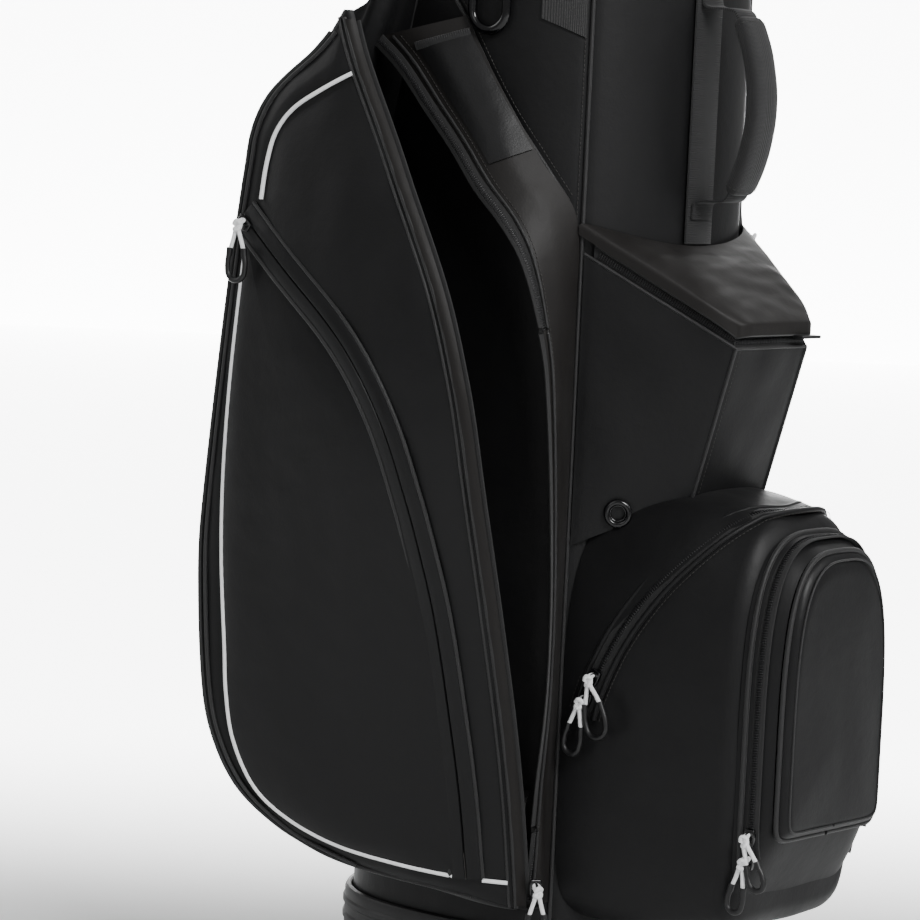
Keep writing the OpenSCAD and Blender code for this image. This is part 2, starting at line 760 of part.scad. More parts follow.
module flap_piping() {
    shape = [
        for (p = arch(flap_w - 2, flap_z + 2, 250, flap_top - 2, 3.2, 7, 40)) [p[0], flap_y - 1.7, p[1]]
    ];
    loop = [for (i = [0:39]) shape[(i + 31) % 40]];
    color("#121212") sweep([for (i = [0:38]) loop[i]], [for (i = [0:38]) [0, -1, 0]], round_section(1.5));
}

// The zip goes up the left of the gusset, over the arch and down the right
module front_zip_tape() {
    ring = front_ring(0.5, 0.5);
    order = [for (i = [0:22]) ring[(i + 39) % 40]];
    normals = [for (i = [0:22]) let (p = order[i]) unit([p[0] / 72, 0, (p[2] - 250) / 165])];
    color("#0e0e0e") sweep(order, normals, flat_section(8, 1.6));
}

front_w = lerp(80, flap_w + 1, 0.5);
front_low_p = [-front_w - 2, -280, 166];
front_high_p = [-front_w - 2, -280, 184];
module front_slider_lower() { at_zip(front_low_p, 180, 0) slider_body(); }
module front_pull_lower() { hang_at(front_low_p, 180, splay[1]) pull_body(7); }
module front_slider_upper() { at_zip(front_high_p, 180, 0) slider_body(); }
module front_pull_upper() { hang_at(front_high_p, 180, splay[0] + 8) pull_body(7); }

// ---- right side pocket ----

function right_ring(t, grow) =
    let (
        nose = t > 0.9 ? (t - 0.9) * 130 : 0,
        half = 112 - 10 * t - nose + grow,
        low = lerp(96, 118, t) + nose - grow,
        top = lerp(812, 770, t) - nose + grow
    )
    [
        for (p = arch(half, low, 330, top, 2.4, 4, 40))
            let (y = p[0] + 14, x0 = tube_side(min(abs(y), 130)) + 2, x1 = 196 + 0.42 * y + grow)
            [lerp(x0, x1, t), y, p[1]]
    ];
module right_pocket() {
    color(fabric)
    shell([for (t = ball_steps) right_ring(t, 0)], [for (t = ball_steps) right_ring(t, -3)]);
}

// Its zip runs down the front edge
module right_zip_tape() {
    levels = [for (z = [180:50:680]) z];
    path = [for (z = levels) right_zip_at(z)];
    color("#0e0e0e") sweep(path, [for (z = levels) unit([0.45, -1, 0])], flat_section(9, 1.6));
}
function right_zip_at(z) =
    let (
        v = z > 330 ? ((z - 330) / (791 - 330)) : ((330 - z) / (330 - 107)),
        n = z > 330 ? 2.4 : 4,
        y = 14 - 107 * (1 - v ^ n) ^ (1 / n)
    )
    [lerp(tube_side(abs(y)) + 2, 196 + 0.42 * y, 0.5), y - 1.4, z];

right_p = right_zip_at(640) + [2.2, -2.6, 0];
module right_slider() { at_zip(right_p, -66, 0) slider_body(); }
module right_pull() { hang_at(right_p, -66) pull_body(); }

module drain_eyelet() {
    color("#0a0a0a") ring_at([-86, -141, 424], 180 + 37, 11.5, 7, 2.6);
}

base_sole();
base_cup();
tube_liner();
outer_skin();
top_collar();
divider_top();
club_dividers();
spine_panel();
cart_strap_slot();
glove_patch();
drain_eyelet();
seam_piping();
shoe_front_gusset();
shoe_slip_pocket();
shoe_rear_gusset();
shoe_floor();
shoe_zip_tape();
shoe_slider();
shoe_pull();
shoe_door();
door_lining();
door_piping();
door_zip_tape();
isotherm_panel();
isotherm_zip_tape();
reflective_piping();
isotherm_slider();
isotherm_pull();
handle_anchors();
handle_straps();
handle_grip();
valuables_walls();
valuables_floor();
valuables_zip_tape();
valuables_lid();
valuables_slider();
valuables_pull();
ball_pocket();
ball_zip_tape();
ball_piping();
ball_slider_upper();
ball_pull_upper();
ball_slider_lower();
ball_pull_lower();
front_gusset();
front_zip_tape();
front_flap();
flap_piping();
front_slider_upper();
front_pull_upper();
front_slider_lower();
front_pull_lower();
right_pocket();
right_zip_tape();
right_slider();
right_pull();
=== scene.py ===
# %% [markdown]
# # A golf cart bag with an open shoe compartment
# The bag is a stiff tube with soft pockets sewn round it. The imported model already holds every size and
# every joint, so it is loaded first and stays as it is. What follows dresses it: coated fabric, piping,
# zips, cords.

# %% Load the frame
import json
import math

import bpy
from mathutils import Matrix, Quaternion, Vector, kdtree, noise


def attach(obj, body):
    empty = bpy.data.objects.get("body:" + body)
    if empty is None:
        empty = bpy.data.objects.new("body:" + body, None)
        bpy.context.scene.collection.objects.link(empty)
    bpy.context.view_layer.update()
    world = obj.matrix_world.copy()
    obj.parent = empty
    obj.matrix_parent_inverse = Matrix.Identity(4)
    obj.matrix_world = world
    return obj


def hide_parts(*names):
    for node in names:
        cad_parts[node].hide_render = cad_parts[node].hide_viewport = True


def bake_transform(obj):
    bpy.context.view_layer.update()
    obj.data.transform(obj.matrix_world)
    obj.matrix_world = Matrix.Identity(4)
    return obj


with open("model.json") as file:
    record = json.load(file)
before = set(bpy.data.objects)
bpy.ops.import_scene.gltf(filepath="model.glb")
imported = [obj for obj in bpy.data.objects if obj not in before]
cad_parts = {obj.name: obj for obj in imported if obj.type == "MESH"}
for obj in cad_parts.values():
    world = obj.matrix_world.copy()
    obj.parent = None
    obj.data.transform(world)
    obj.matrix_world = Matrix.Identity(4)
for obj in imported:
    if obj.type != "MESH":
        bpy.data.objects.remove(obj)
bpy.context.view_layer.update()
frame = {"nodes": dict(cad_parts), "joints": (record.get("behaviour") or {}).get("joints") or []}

scene = bpy.context.scene

# %% [markdown]
# ## Camera
# The bag is seen from its front left, a little above the middle, with a long lens so that upright edges
# stay upright. The camera leans a couple of degrees, which is what makes the bag lean in the view. A
# look-at quaternion is simpler than three angles, and the lean is one more turn about the line of sight.

# %% Camera
camera = bpy.data.objects.new("camera", bpy.data.cameras.new("camera"))
scene.collection.objects.link(camera)
scene.camera = camera
camera.location = (-2.346, -1.871, 0.75)
aim = Vector((-0.048, 0.057, 0.445))
lean = Quaternion((0, 0, 1), math.radians(2.6))
camera.rotation_mode = "QUATERNION"
camera.rotation_quaternion = (aim - camera.location).to_track_quat("-Z", "Y") @ lean
camera.data.sensor_width = 36
camera.data.lens = 140.87
print("camera to aim:", round((aim - camera.location).length, 2), "m")

# %% [markdown]
# ## Floor and light
# Black fabric shows its form only by what it reflects, so the room is dim and the light comes from a few
# wide soft panels, for the long sheens. Behind the bag the room and the floor are white and brightly lit,
# as in a studio with its own lamps on the backdrop, so that the dark outline stays clear.

# %% Room and lamps
ROOM_DIM, BACKDROP = 0.3, 8.0
away = Vector((aim.x - camera.location.x, aim.y - camera.location.y, 0)).normalized()
world = bpy.data.worlds.new("room")
scene.world = world
world.use_nodes = True
world.node_tree.nodes["Background"].inputs["Strength"].default_value = ROOM_DIM
world.node_tree.nodes["Background"].inputs["Color"].default_value = (1, 1, 1, 1)


def soft_light(name, place, target, size, watts):
    lamp = bpy.data.objects.new(name, bpy.data.lights.new(name, "AREA"))
    scene.collection.objects.link(lamp)
    lamp.data.shape = "RECTANGLE"
    lamp.data.size, lamp.data.size_y = size
    lamp.data.energy = watts
    lamp.location = place
    lamp.rotation_mode = "QUATERNION"
    lamp.rotation_quaternion = (Vector(target) - Vector(place)).to_track_quat("-Z", "Y")


soft_light("key_panel", (1.1, -2.4, 2.3), (0, -0.1, 0.5), (1.3, 1.6), 20)
soft_light("front_panel", (-1.2, -3.0, 2.6), (0, -0.1, 0.6), (1.4, 1.2), 115)
soft_light("fill_panel", (-3.0, -0.9, 2.0), (-0.1, 0, 0.5), (1.2, 1.8), 10)
soft_light("top_panel", (2.0, 0.4, 2.7), (0, -0.1, 0.6), (1.4, 1.4), 16)
soft_light("rim_panel", (-1.2, 2.4, 2.0), (-0.1, 0, 0.5), (1.6, 1.6), 18)

# %% [markdown]
# ## Materials
# Each finish starts as the real one does. One function turns a hex colour to linear light, and one adds a
# node with its settings and links. Patterns read Object coordinates, in metres, so their scale is a real
# size.

# %% Material helpers
MM = 0.001


def linear(hex_colour):
    values = [int(hex_colour[i:i + 2], 16) / 255 for i in (1, 3, 5)]
    return [v / 12.92 if v <= 0.04045 else ((v + 0.055) / 1.055) ** 2.4 for v in values] + [1]


def add(material, kind, settings=None, links=None):
    node = material.node_tree.nodes.new(kind)
    for key, value in (settings or {}).items():
        if isinstance(key, int) or key in node.inputs:
            node.inputs[key].default_value = value
        else:
            setattr(node, key, value)
    for key, (source, output) in (links or {}).items():
        material.node_tree.links.new(source.outputs[output], node.inputs[key])
    return node


def finish_of(name, **surface):
    """A new material with its shader, and the surface's uniform values set on the shader itself."""
    material = bpy.data.materials.new(name)
    material.use_nodes = True
    shader = material.node_tree.nodes["Principled BSDF"]
    for key, value in surface.items():
        shader.inputs[key.replace("_", " ")].default_value = value
    return material, shader


def tint(material, shader, place, size, low, high, detail=3):
    """Slow colour change between two hex values, in patches of the given size."""
    patches = add(material, "ShaderNodeTexNoise", {"Scale": 1 / size, "Detail": detail},
                  {"Vector": place})
    mixed = add(material, "ShaderNodeMix", {"data_type": "RGBA", 6: linear(low), 7: linear(high)},
                {0: (patches, 0)})
    material.node_tree.links.new(mixed.outputs[2], shader.inputs["Base Color"])
    return patches


def rough_range(material, shader, patches, low, high):
    spread = add(material, "ShaderNodeMapRange",
                 {"From Min": 0.3, "From Max": 0.7, "To Min": low, "To Max": high},
                 {"Value": (patches, 0)})
    material.node_tree.links.new(spread.outputs[0], shader.inputs["Roughness"])


def relief(material, shader, height, depth, under=None):
    links = {"Height": height}
    if under:
        links["Normal"] = (under, 0)
    bump = add(material, "ShaderNodeBump", {"Distance": depth}, links)
    material.node_tree.links.new(bump.outputs[0], shader.inputs["Normal"])
    return bump


def coated(name, low, high, shine, grain=1.6 * MM):
    """Polyester with a soft polyurethane skin: matt, a fine leathery grain, broad gentle highlights."""
    material, shader = finish_of(name, Specular_IOR_Level=0.25, Sheen_Weight=0.03, Sheen_Roughness=0.5)
    place = (add(material, "ShaderNodeTexCoord"), "Object")
    patches = tint(material, shader, place, 70 * MM, low, high)
    rough_range(material, shader, patches, shine, shine + 0.08)
    pebble = add(material, "ShaderNodeTexVoronoi", {"Scale": 1 / grain, "feature": "SMOOTH_F1"},
                 {"Vector": place})
    crease = add(material, "ShaderNodeTexNoise", {"Scale": 1 / (14 * MM), "Detail": 4}, {"Vector": place})
    first = relief(material, shader, (pebble, 0), 0.05 * MM)
    relief(material, shader, (crease, 0), 0.35 * MM, first)
    return material


def woven(name, low, high, thread, relief_depth, uses_uv=False, **surface):
    """Cloth of crossing threads: two wave patterns at right angles, one thread apart."""
    material, shader = finish_of(name, **{"Roughness": 0.82, "Sheen_Weight": 0.15, **surface})
    place = (add(material, "ShaderNodeTexCoord"), "UV" if uses_uv else "Object")
    tint(material, shader, place, 9 * MM, low, high)
    waves = [
        add(material, "ShaderNodeTexWave",
            {"bands_direction": axis, "Scale": 0.314 / thread, "Distortion": 0.4}, {"Vector": place})
        for axis in ("X", "Y" if uses_uv else "Z")
    ]
    cloth = add(material, "ShaderNodeMath", {"operation": "MULTIPLY"},
                {0: (waves[0], 1), 1: (waves[1], 1)})
    relief(material, shader, (cloth, 0), relief_depth)
    return material


def moulded(name, low, high, rough, grit=0.9 * MM, **surface):
    """Injection-moulded part with a fine spark-eroded grain."""
    material, shader = finish_of(name, **surface)
    place = (add(material, "ShaderNodeTexCoord"), "Object")
    patches = tint(material, shader, place, 30 * MM, low, high)
    rough_range(material, shader, patches, rough, rough + 0.1)
    grain = add(material, "ShaderNodeTexNoise", {"Scale": 1 / grit, "Detail": 3}, {"Vector": place})
    relief(material, shader, (grain, 0), 0.08 * MM)
    return material


# %% [markdown]
# The finishes. The main fabric is nearly black and reflects a soft band of light. The panels that lie
# open to the light, such as the gusset and the lid, get a lighter, warmer copy of it, and that extra
# lightness is painted light. Thread spacings finer than a millimetre would vanish at this distance, so
# weaves are drawn about twice as coarse as the real ones.

# %% Finishes
FABRIC = coated("coated_polyester", "#0c0c0d", "#111112", 0.44)
# A lighter, warmer copy of the main fabric for the panels that face the lamps: its extra lightness is painted
# light.
FABRIC_PAINTED_LIGHT = coated("coated_polyester_painted_light", "#131110", "#191716", 0.48)
FABRIC_PANEL = coated("coated_polyester_smooth", "#0b0b0c", "#101011", 0.38)
LINING = woven("taffeta_lining", "#0a0a0b", "#101011", 1.1 * MM, 0.1 * MM)
MESH_CLOTH = woven("spacer_mesh", "#0b0b0b", "#1b1b1b", 2.4 * MM, 0.7 * MM)
PIPING = woven("covered_piping", "#0e0e0f", "#151516", 0.9 * MM, 0.08 * MM, Roughness=0.55)
TAPE = woven("zip_tape_polyester", "#0b0b0c", "#131314", 0.9 * MM, 0.12 * MM, Roughness=0.75)
COIL = moulded("nylon_coil", "#101011", "#18181a", 0.3)
THREAD = moulded("bonded_nylon_thread", "#232221", "#34322f", 0.45)
WEBBING = woven("polypropylene_webbing", "#101011", "#1c1c1d", 1.8 * MM, 0.35 * MM, uses_uv=True)
SLEEVE = woven("woven_grip_sleeve", "#111112", "#1d1d1e", 1.3 * MM, 0.3 * MM, uses_uv=True)
CORD_WHITE = woven("braided_cord", "#f2f3f4", "#ffffff", 0.8 * MM, 0.15 * MM, Roughness=0.6)
REFLECTIVE = moulded("glass_bead_piping", "#f4f5f6", "#ffffff", 0.35, Specular_IOR_Level=0.6)
ENAMEL = moulded("black_enamelled_zinc", "#060607", "#0b0b0c", 0.16, grit=3 * MM, Coat_Weight=0.5)
RUBBER = moulded("moulded_tpr", "#0c0c0d", "#131314", 0.38)
GLOSS = moulded("polished_acetal", "#050506", "#08080a", 0.14, grit=4 * MM)
MOULDED = moulded("grained_polypropylene", "#111112", "#19191a", 0.5)
LINER = moulded("liner_sheet", "#121213", "#1a1a1b", 0.45)
SOLE = moulded("rubber_sole", "#0c0c0c", "#151515", 0.75)
LOOP = woven("brushed_loop_pile", "#0a0a0b", "#141415", 1.0 * MM, 0.8 * MM, Roughness=0.95,
             Sheen_Weight=0.5)
FLOOR, floor_shader = finish_of("white_floor", Base_Color=linear("#eceded"), Roughness=0.8)
ground = (add(FLOOR, "ShaderNodeTexCoord"), "Object")
behind = add(FLOOR, "ShaderNodeVectorMath", {"operation": "DOT_PRODUCT", 1: away}, {0: ground})
beside = add(FLOOR, "ShaderNodeVectorMath", {"operation": "DOT_PRODUCT", 1: Vector((-away.y, away.x, 0))},
             {0: ground})
beside = add(FLOOR, "ShaderNodeMath", {"operation": "ABSOLUTE"}, {0: (beside, 1)})
further = add(FLOOR, "ShaderNodeMath", {"operation": "ADD", 1: 3.0}, {0: (behind, 1)})
share = add(FLOOR, "ShaderNodeMath", {"operation": "DIVIDE"}, {0: (beside, 0), 1: (further, 0)})
reach = [add(FLOOR, "ShaderNodeMapRange",
             {"interpolation_type": "SMOOTHSTEP", "From Min": near, "From Max": far,
              "To Min": low, "To Max": 1 - low}, {"Value": value})
         for near, far, low, value in ((0.1, 1.2, 0, (behind, 1)), (0.15, 0.24, 1, (share, 0)))]
lit = add(FLOOR, "ShaderNodeMath", {"operation": "MULTIPLY"}, {0: (reach[0], 0), 1: (reach[1], 0)})
lit = add(FLOOR, "ShaderNodeMath", {"operation": "MULTIPLY", 1: BACKDROP * 0.85}, {0: (lit, 0)})
floor_shader.inputs["Emission Color"].default_value = (1, 1, 1, 1)
FLOOR.node_tree.links.new(lit.outputs[0], floor_shader.inputs["Emission Strength"])
bpy.ops.mesh.primitive_plane_add(size=16, location=(0, 0, 0))
floor = bpy.context.object
floor.name = "floor"
floor.data.materials.append(FLOOR)
WALL, wall_shader = finish_of("white_wall", Base_Color=linear("#eceded"), Emission_Strength=BACKDROP)
wall_shader.inputs["Emission Color"].default_value = (1, 1, 1, 1)
bpy.ops.mesh.primitive_plane_add(size=5, location=away * 7.8 + Vector((0, 0, 1)))
wall = bpy.context.object
wall.name = "backdrop"
wall.rotation_mode = "QUATERNION"
wall.rotation_quaternion = away.to_track_quat("-Z", "Y")
wall.data.materials.append(WALL)
print("finishes:", len(bpy.data.materials))

# %% [markdown]
# ## How a soft panel is made
# A sewn panel is a sheet whose every point follows a rule, so each one starts as a primitive grid and its
# points are moved to where the rule says. Solidify gives the cloth its thickness. A smooth curve through
# a few keys gives the outlines, the same keys that the frame was cut to.

# %% Curves
def key_slope(keys, i):
    a, b = max(i - 1, 0), min(i + 1, len(keys) - 1)
    return (keys[b][1] - keys[a][1]) / (keys[b][0] - keys[a][0])


def curve(x, keys):
    """A smooth value that passes through the keys (x, value)."""
    i = 0
    while i < len(keys) - 2 and x >= keys[i + 1][0]:
        i += 1
    h = keys[i + 1][0] - keys[i][0]
    t = max(0, min(1, (x - keys[i][0]) / h))
    m0, m1 = key_slope(keys, i) * h, key_slope(keys, i + 1) * h
    return ((2 * t ** 3 - 3 * t ** 2 + 1) * keys[i][1] + (t ** 3 - 2 * t ** 2 + t) * m0
            + (3 * t ** 2 - 2 * t ** 3) * keys[i + 1][1] + (t ** 3 - t ** 2) * m1)


def lerp(a, b, t):
    return a + (b - a) * t


def signed_power(value, power):
    return math.copysign(abs(value) ** power, value)


def smooth_line(points, pitch):
    """Points about pitch apart on a smooth line through the given ones."""
    points = [Vector(p) for p in points]
    line = []
    for i in range(len(points) - 1):
        p0, p1, p2 = points[max(i - 1, 0)], points[i], points[i + 1]
        p3 = points[min(i + 2, len(points) - 1)]
        m1, m2 = (p2 - p0) / 2, (p3 - p1) / 2
        steps = max(1, round((p2 - p1).length / pitch))
        for k in range(steps):
            t = k / steps
            line.append((2 * t ** 3 - 3 * t ** 2 + 1) * p1 + (t ** 3 - 2 * t ** 2 + t) * m1
                        + (3 * t ** 2 - 2 * t ** 3) * p2 + (t ** 3 - t ** 2) * m2)
    return line + [points[-1]]


# %% Modelling helpers
def pick(piece):
    """Only this object is selected, and it is the active one."""
    if bpy.context.object and bpy.context.object.mode != "OBJECT":
        bpy.ops.object.mode_set(mode="OBJECT")
    bpy.ops.object.select_all(action="DESELECT")
    piece.select_set(True)
    bpy.context.view_layer.objects.active = piece


def modify(piece, kind, **settings):
    """A modifier, set and applied."""
    pick(piece)
    modifier = piece.modifiers.new(kind.lower(), kind)
    for key, value in settings.items():
        setattr(modifier, key, value)
    bpy.ops.object.modifier_apply(modifier=modifier.name)


def smooth(piece, angle=40):
    pick(piece)
    bpy.ops.object.shade_smooth_by_angle(angle=math.radians(angle))


def merge(piece, distance=0.05 * MM):
    pick(piece)
    bpy.ops.object.mode_set(mode="EDIT")
    bpy.ops.mesh.select_all(action="SELECT")
    bpy.ops.mesh.remove_doubles(threshold=distance)
    bpy.ops.object.mode_set(mode="OBJECT")


def put(piece, body, slot, *nodes):
    """The piece rides on its body and stands for these frame nodes, whose parts are hidden. The slot is not
    used.
    """
    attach(piece, body)
    if nodes:
        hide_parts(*nodes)
    return piece


def cloth_panel(name, columns, rows, place, material, thickness=0, size=(1, 1)):
    """A primitive grid whose points go to place(s, t), in millimetres, with s and t from 0 to 1."""
    bpy.ops.object.select_all(action="DESELECT")
    bpy.ops.mesh.primitive_grid_add(x_subdivisions=columns, y_subdivisions=rows, size=2)
    piece = bpy.context.object
    piece.name = name
    for vertex in piece.data.vertices:
        vertex.co = Vector(place((vertex.co.x + 1) / 2, (vertex.co.y + 1) / 2)) * MM
    for loop in piece.data.uv_layers.active.data:
        loop.uv = (loop.uv[0] * size[0] * MM, loop.uv[1] * size[1] * MM)
    piece.data.materials.append(material)
    if thickness:
        modify(piece, "SOLIDIFY", thickness=thickness * MM, offset=-1)
    smooth(piece)
    return piece


def mesh_piece(name, points, faces, material, uvs=None):
    data = bpy.data.meshes.new(name)
    data.from_pydata([p * MM for p in points], [], faces)
    data.materials.append(material)
    if uvs:
        layer = data.uv_layers.new(name="UVMap")
        for loop in data.loops:
            layer.data[loop.index].uv = uvs[loop.vertex_index]
    piece = bpy.data.objects.new(name, data)
    scene.collection.objects.link(piece)
    return piece


# %% [markdown]
# ## Piping, tape and stitches
# Everything sewn along a seam is one of two things: a section carried along a line, or a small shape
# repeated along it. A curve object could sweep the section, but it twists on a curved panel, so the ring
# of each step is turned to face the panel's own outward direction.

# %% Runs along a seam
def frames_of(line, outs):
    """At each point of the line: the point, across, out and along."""
    frames = []
    for i, point in enumerate(line):
        along = (line[min(i + 1, len(line) - 1)] - line[max(i - 1, 0)]).normalized()
        across = outs[i].cross(along).normalized()
        frames.append((point, across, along.cross(across), along))
    return frames


def run(name, line, outs, section, material):
    """A closed section of (across, out) millimetres carried along the line, with capped ends."""
    points, faces, uvs = [], [], []
    count, travelled = len(section), 0
    frames = frames_of(line, outs)
    for i, (point, across, out, _) in enumerate(frames):
        travelled += (point - frames[max(i - 1, 0)][0]).length
        points += [point + a * across + o * out for a, o in section]
        uvs += [(k * 2 * MM, travelled * MM) for k in range(count)]
    for i in range(len(line) - 1):
        for j in range(count):
            k = (j + 1) % count
            faces.append((i * count + j, i * count + k, (i + 1) * count + k, (i + 1) * count + j))
    faces.append(tuple(range(count - 1, -1, -1)))
    last = (len(line) - 1) * count
    faces.append(tuple(last + j for j in range(count)))
    piece = mesh_piece(name, points, faces, material, uvs)
    pick(piece)
    bpy.ops.object.mode_set(mode="EDIT")
    bpy.ops.mesh.select_all(action="SELECT")
    bpy.ops.mesh.normals_make_consistent(inside=False)
    bpy.ops.object.mode_set(mode="OBJECT")
    smooth(piece, 50)
    return piece


def round_cord(radius, sides=10, lift=0.0):
    turns = [2 * math.pi * i / sides for i in range(sides)]
    return [(radius * math.cos(a), lift + radius * math.sin(a)) for a in turns]


def flat_band(width, thickness, lift=0.0, round_off=0.3):
    w, t = width / 2, thickness
    return [(-w, lift), (w, lift), (w, lift + t - round_off), (w - round_off, lift + t),
            (-w + round_off, lift + t), (-w, lift + t - round_off)]


def every(line, outs, pitch):
    """Frames one pitch apart along the line."""
    placed, due = [], pitch / 2
    frames, travelled = frames_of(line, outs), 0.0
    for i in range(len(frames) - 1):
        step = (frames[i + 1][0] - frames[i][0]).length
        while due <= travelled + step:
            t = (due - travelled) / max(step, 1e-9)
            point = frames[i][0].lerp(frames[i + 1][0], t)
            turned = zip(frames[i][1:], frames[i + 1][1:])
            placed.append((point, *(a.lerp(b, t).normalized() for a, b in turned)))
            due += pitch
        travelled += step
    return placed


def repeat(name, pattern, line, outs, pitch, material, shift=(0, 0), other=None):
    """One pattern object, X across, Y along and Z out, copied one pitch apart into a single mesh."""
    points, faces = [], []
    corners = [v.co.copy() / MM for v in pattern.data.vertices]
    sides = [tuple(p.vertices) for p in pattern.data.polygons]
    for n, (point, across, out, along) in enumerate(every(line, outs, pitch)):
        start = len(points)
        flip = -1 if other and n % 2 else 1
        for c in corners:
            points.append(point + (flip * c.x + shift[0]) * across + flip * c.y * along
                          + (c.z + shift[1]) * out)
        faces += [tuple(start + k for k in side) for side in sides]
    piece = mesh_piece(name, points, faces, material)
    smooth(piece, 60)
    return piece


# %% [markdown]
# The two repeated shapes are modelled once at the origin. A stitch is a short thread that dips at both
# ends, made from a small sphere stretched along the seam. One loop of the zip's nylon coil is a bevelled
# block that reaches across the gap. Both have few faces, since hundreds are laid.

# %% Stitch and coil patterns
bpy.ops.object.select_all(action="DESELECT")
bpy.ops.mesh.primitive_uv_sphere_add(segments=6, ring_count=4, radius=1 * MM)
STITCH = bpy.context.object
STITCH.name = "stitch_pattern"
bpy.ops.object.mode_set(mode="EDIT")
bpy.ops.transform.resize(value=(0.36, 1.5, 0.3))
bpy.ops.object.mode_set(mode="OBJECT")

bpy.ops.object.select_all(action="DESELECT")
bpy.ops.mesh.primitive_cube_add(size=1 * MM)
TOOTH = bpy.context.object
TOOTH.name = "coil_pattern"
bpy.ops.object.mode_set(mode="EDIT")
bpy.ops.transform.resize(value=(4.6, 1.1, 1.5))
bpy.ops.mesh.bevel(offset=0.34 * MM, segments=1)
bpy.ops.object.mode_set(mode="OBJECT")
print("faces in a stitch and in a coil loop:", len(STITCH.data.polygons), len(TOOTH.data.polygons))


def stitches(name, line, outs, body, slot, shift=(0, 0), pitch=3.6, cloth=None):
    piece = repeat(name, STITCH, line, outs, pitch, cloth or THREAD, shift)
    return put(piece, body, slot)


def teeth(name, line, outs, body, shift=(0, 0), pitch=2.0):
    return put(repeat(name, TOOTH, line, outs, pitch, COIL, shift), body, "zip_tape")

# %% [markdown]
# ## The tube
# The tube is a fabric skin pulled over a plastic sheet. On the real bag it is one wide panel and a narrow
# one, with upright seams, so the cloth lies flat between them and dips where it is sewn. A grid wrapped
# into a ring keeps its points even; a cylinder would bunch them at the corners of this squarish outline.

# %% Tube outline
TUBE_A, TUBE_B, TUBE_N = 138, 140, 2.5
BASE_H, SKIN_TOP = 84, 850
SEAM_A = 225
DIAGONAL = [(178, 830), (184, 792), (195, 744), (208, 703), (224, 655)]


def tube_xy(degrees, out=0):
    a = math.radians(degrees)
    return ((TUBE_A + out) * signed_power(math.cos(a), 2 / TUBE_N),
            (TUBE_B + out) * signed_power(math.sin(a), 2 / TUBE_N))


def tube_front(x):
    return TUBE_B * max(0, 1 - abs(x / TUBE_A) ** TUBE_N) ** (1 / TUBE_N)


def tube_side(y):
    return TUBE_A * max(0, 1 - abs(y / TUBE_B) ** TUBE_N) ** (1 / TUBE_N)


def skin_at(degrees, z, out=0):
    return Vector((*tube_xy(degrees, out), z))


def skin_out(degrees):
    (x0, y0), (x1, y1) = tube_xy(degrees - 2), tube_xy(degrees + 2)
    return Vector((y1 - y0, x0 - x1, 0)).normalized()


def soft(point, size, height):
    """A slow swell of the cloth, height millimetres either way in patches of the given size."""
    return height * noise.noise(Vector(point) / size)


def dip(distance, width):
    """How deep a seam pulls the cloth at this distance from it, as a share of its depth."""
    return math.exp(-(distance / width) ** 2)


# %% Tube skin
def skin_place(s, t):
    degrees, z = 360 * s, lerp(BASE_H - 70, SKIN_TOP - 1, t)
    out = soft((degrees * 2.4, z * 0.55, 0), 90, 0.7) - 0.5
    for seam in (SEAM_A, 540 - SEAM_A):
        out -= 1.1 * dip((degrees - seam) * 2.3, 5)
    if 178 < degrees < 224:
        out -= 0.9 * dip((z - curve(degrees, DIAGONAL)) * 0.7, 5)
    return skin_at(degrees, z, out)


skin = cloth_panel("tube_skin", 240, 130, skin_place, FABRIC)
merge(skin)
modify(skin, "SOLIDIFY", thickness=1.2 * MM, offset=-1)
smooth(skin)
put(skin, "bag", "coated_fabric", "outer_skin")
print("tube skin:", len(skin.data.polygons), "faces")

# %% Tube seams
levels = [lerp(BASE_H + 3, SKIN_TOP - 2, i / 60) for i in range(61)]
turns = [lerp(178, 219, i / 40) for i in range(41)]
for side, degrees in (("left", SEAM_A), ("right", 540 - SEAM_A)):
    line = [skin_at(degrees, z, 0.9) for z in levels]
    outs = [skin_out(degrees)] * len(line)
    put(run(f"seam_piping_{side}", line, outs, round_cord(1.5), PIPING), "bag", "piping_black",
        "seam_piping")
    stitches(f"seam_stitches_{side}", line, outs, "bag", "coated_fabric",
             shift=(5 if side == "left" else -5, -0.6))
line = [skin_at(a, curve(a, DIAGONAL), 0.9) for a in turns]
outs = [skin_out(a) for a in turns]
put(run("seam_piping_diagonal", line, outs, round_cord(1.5), PIPING), "bag", "piping_black")
stitches("seam_stitches_diagonal", line, outs, "bag", "coated_fabric", shift=(5, -0.6))
print("seams on the tube: 3")

# %% [markdown]
# ## Base and collar
# Both are stiff mouldings. The base is a cup with a rolled lip and two ribs, the collar a rim with a
# thick padded edge that the clubs rest on. Each starts as an outline ring that is extruded upwards and
# scaled, step by step, as a profile is built by hand.

# %% Ring mouldings
def ring_moulding(name, profile, material, steps=144):
    """The tube's outline as a filled ring, extruded through a profile of (out, height) millimetres."""
    bpy.ops.object.select_all(action="DESELECT")
    bpy.ops.mesh.primitive_circle_add(vertices=steps, radius=1, fill_type="NOTHING")
    piece = bpy.context.object
    piece.name = name
    out, height = profile[0]
    for i, vertex in enumerate(piece.data.vertices):
        vertex.co = skin_at(360 * i / steps, height, out) * MM
    bpy.ops.object.mode_set(mode="EDIT")
    for (out0, height0), (out1, height1) in zip(profile, profile[1:]):
        bpy.ops.mesh.select_mode(type="EDGE")
        bpy.ops.mesh.extrude_edges_move(TRANSFORM_OT_translate={"value": (0, 0,
                                                                          (height1 - height0) * MM)})
        wide = ((TUBE_A + out1) / (TUBE_A + out0), (TUBE_B + out1) / (TUBE_B + out0), 1)
        bpy.ops.transform.resize(value=wide, center_override=(0, 0, 0))
    bpy.ops.mesh.select_all(action="SELECT")
    bpy.ops.mesh.remove_doubles(threshold=0.02 * MM)
    bpy.ops.mesh.normals_make_consistent(inside=False)
    bpy.ops.object.mode_set(mode="OBJECT")
    piece.data.materials.append(material)
    smooth(piece, 35)
    return piece


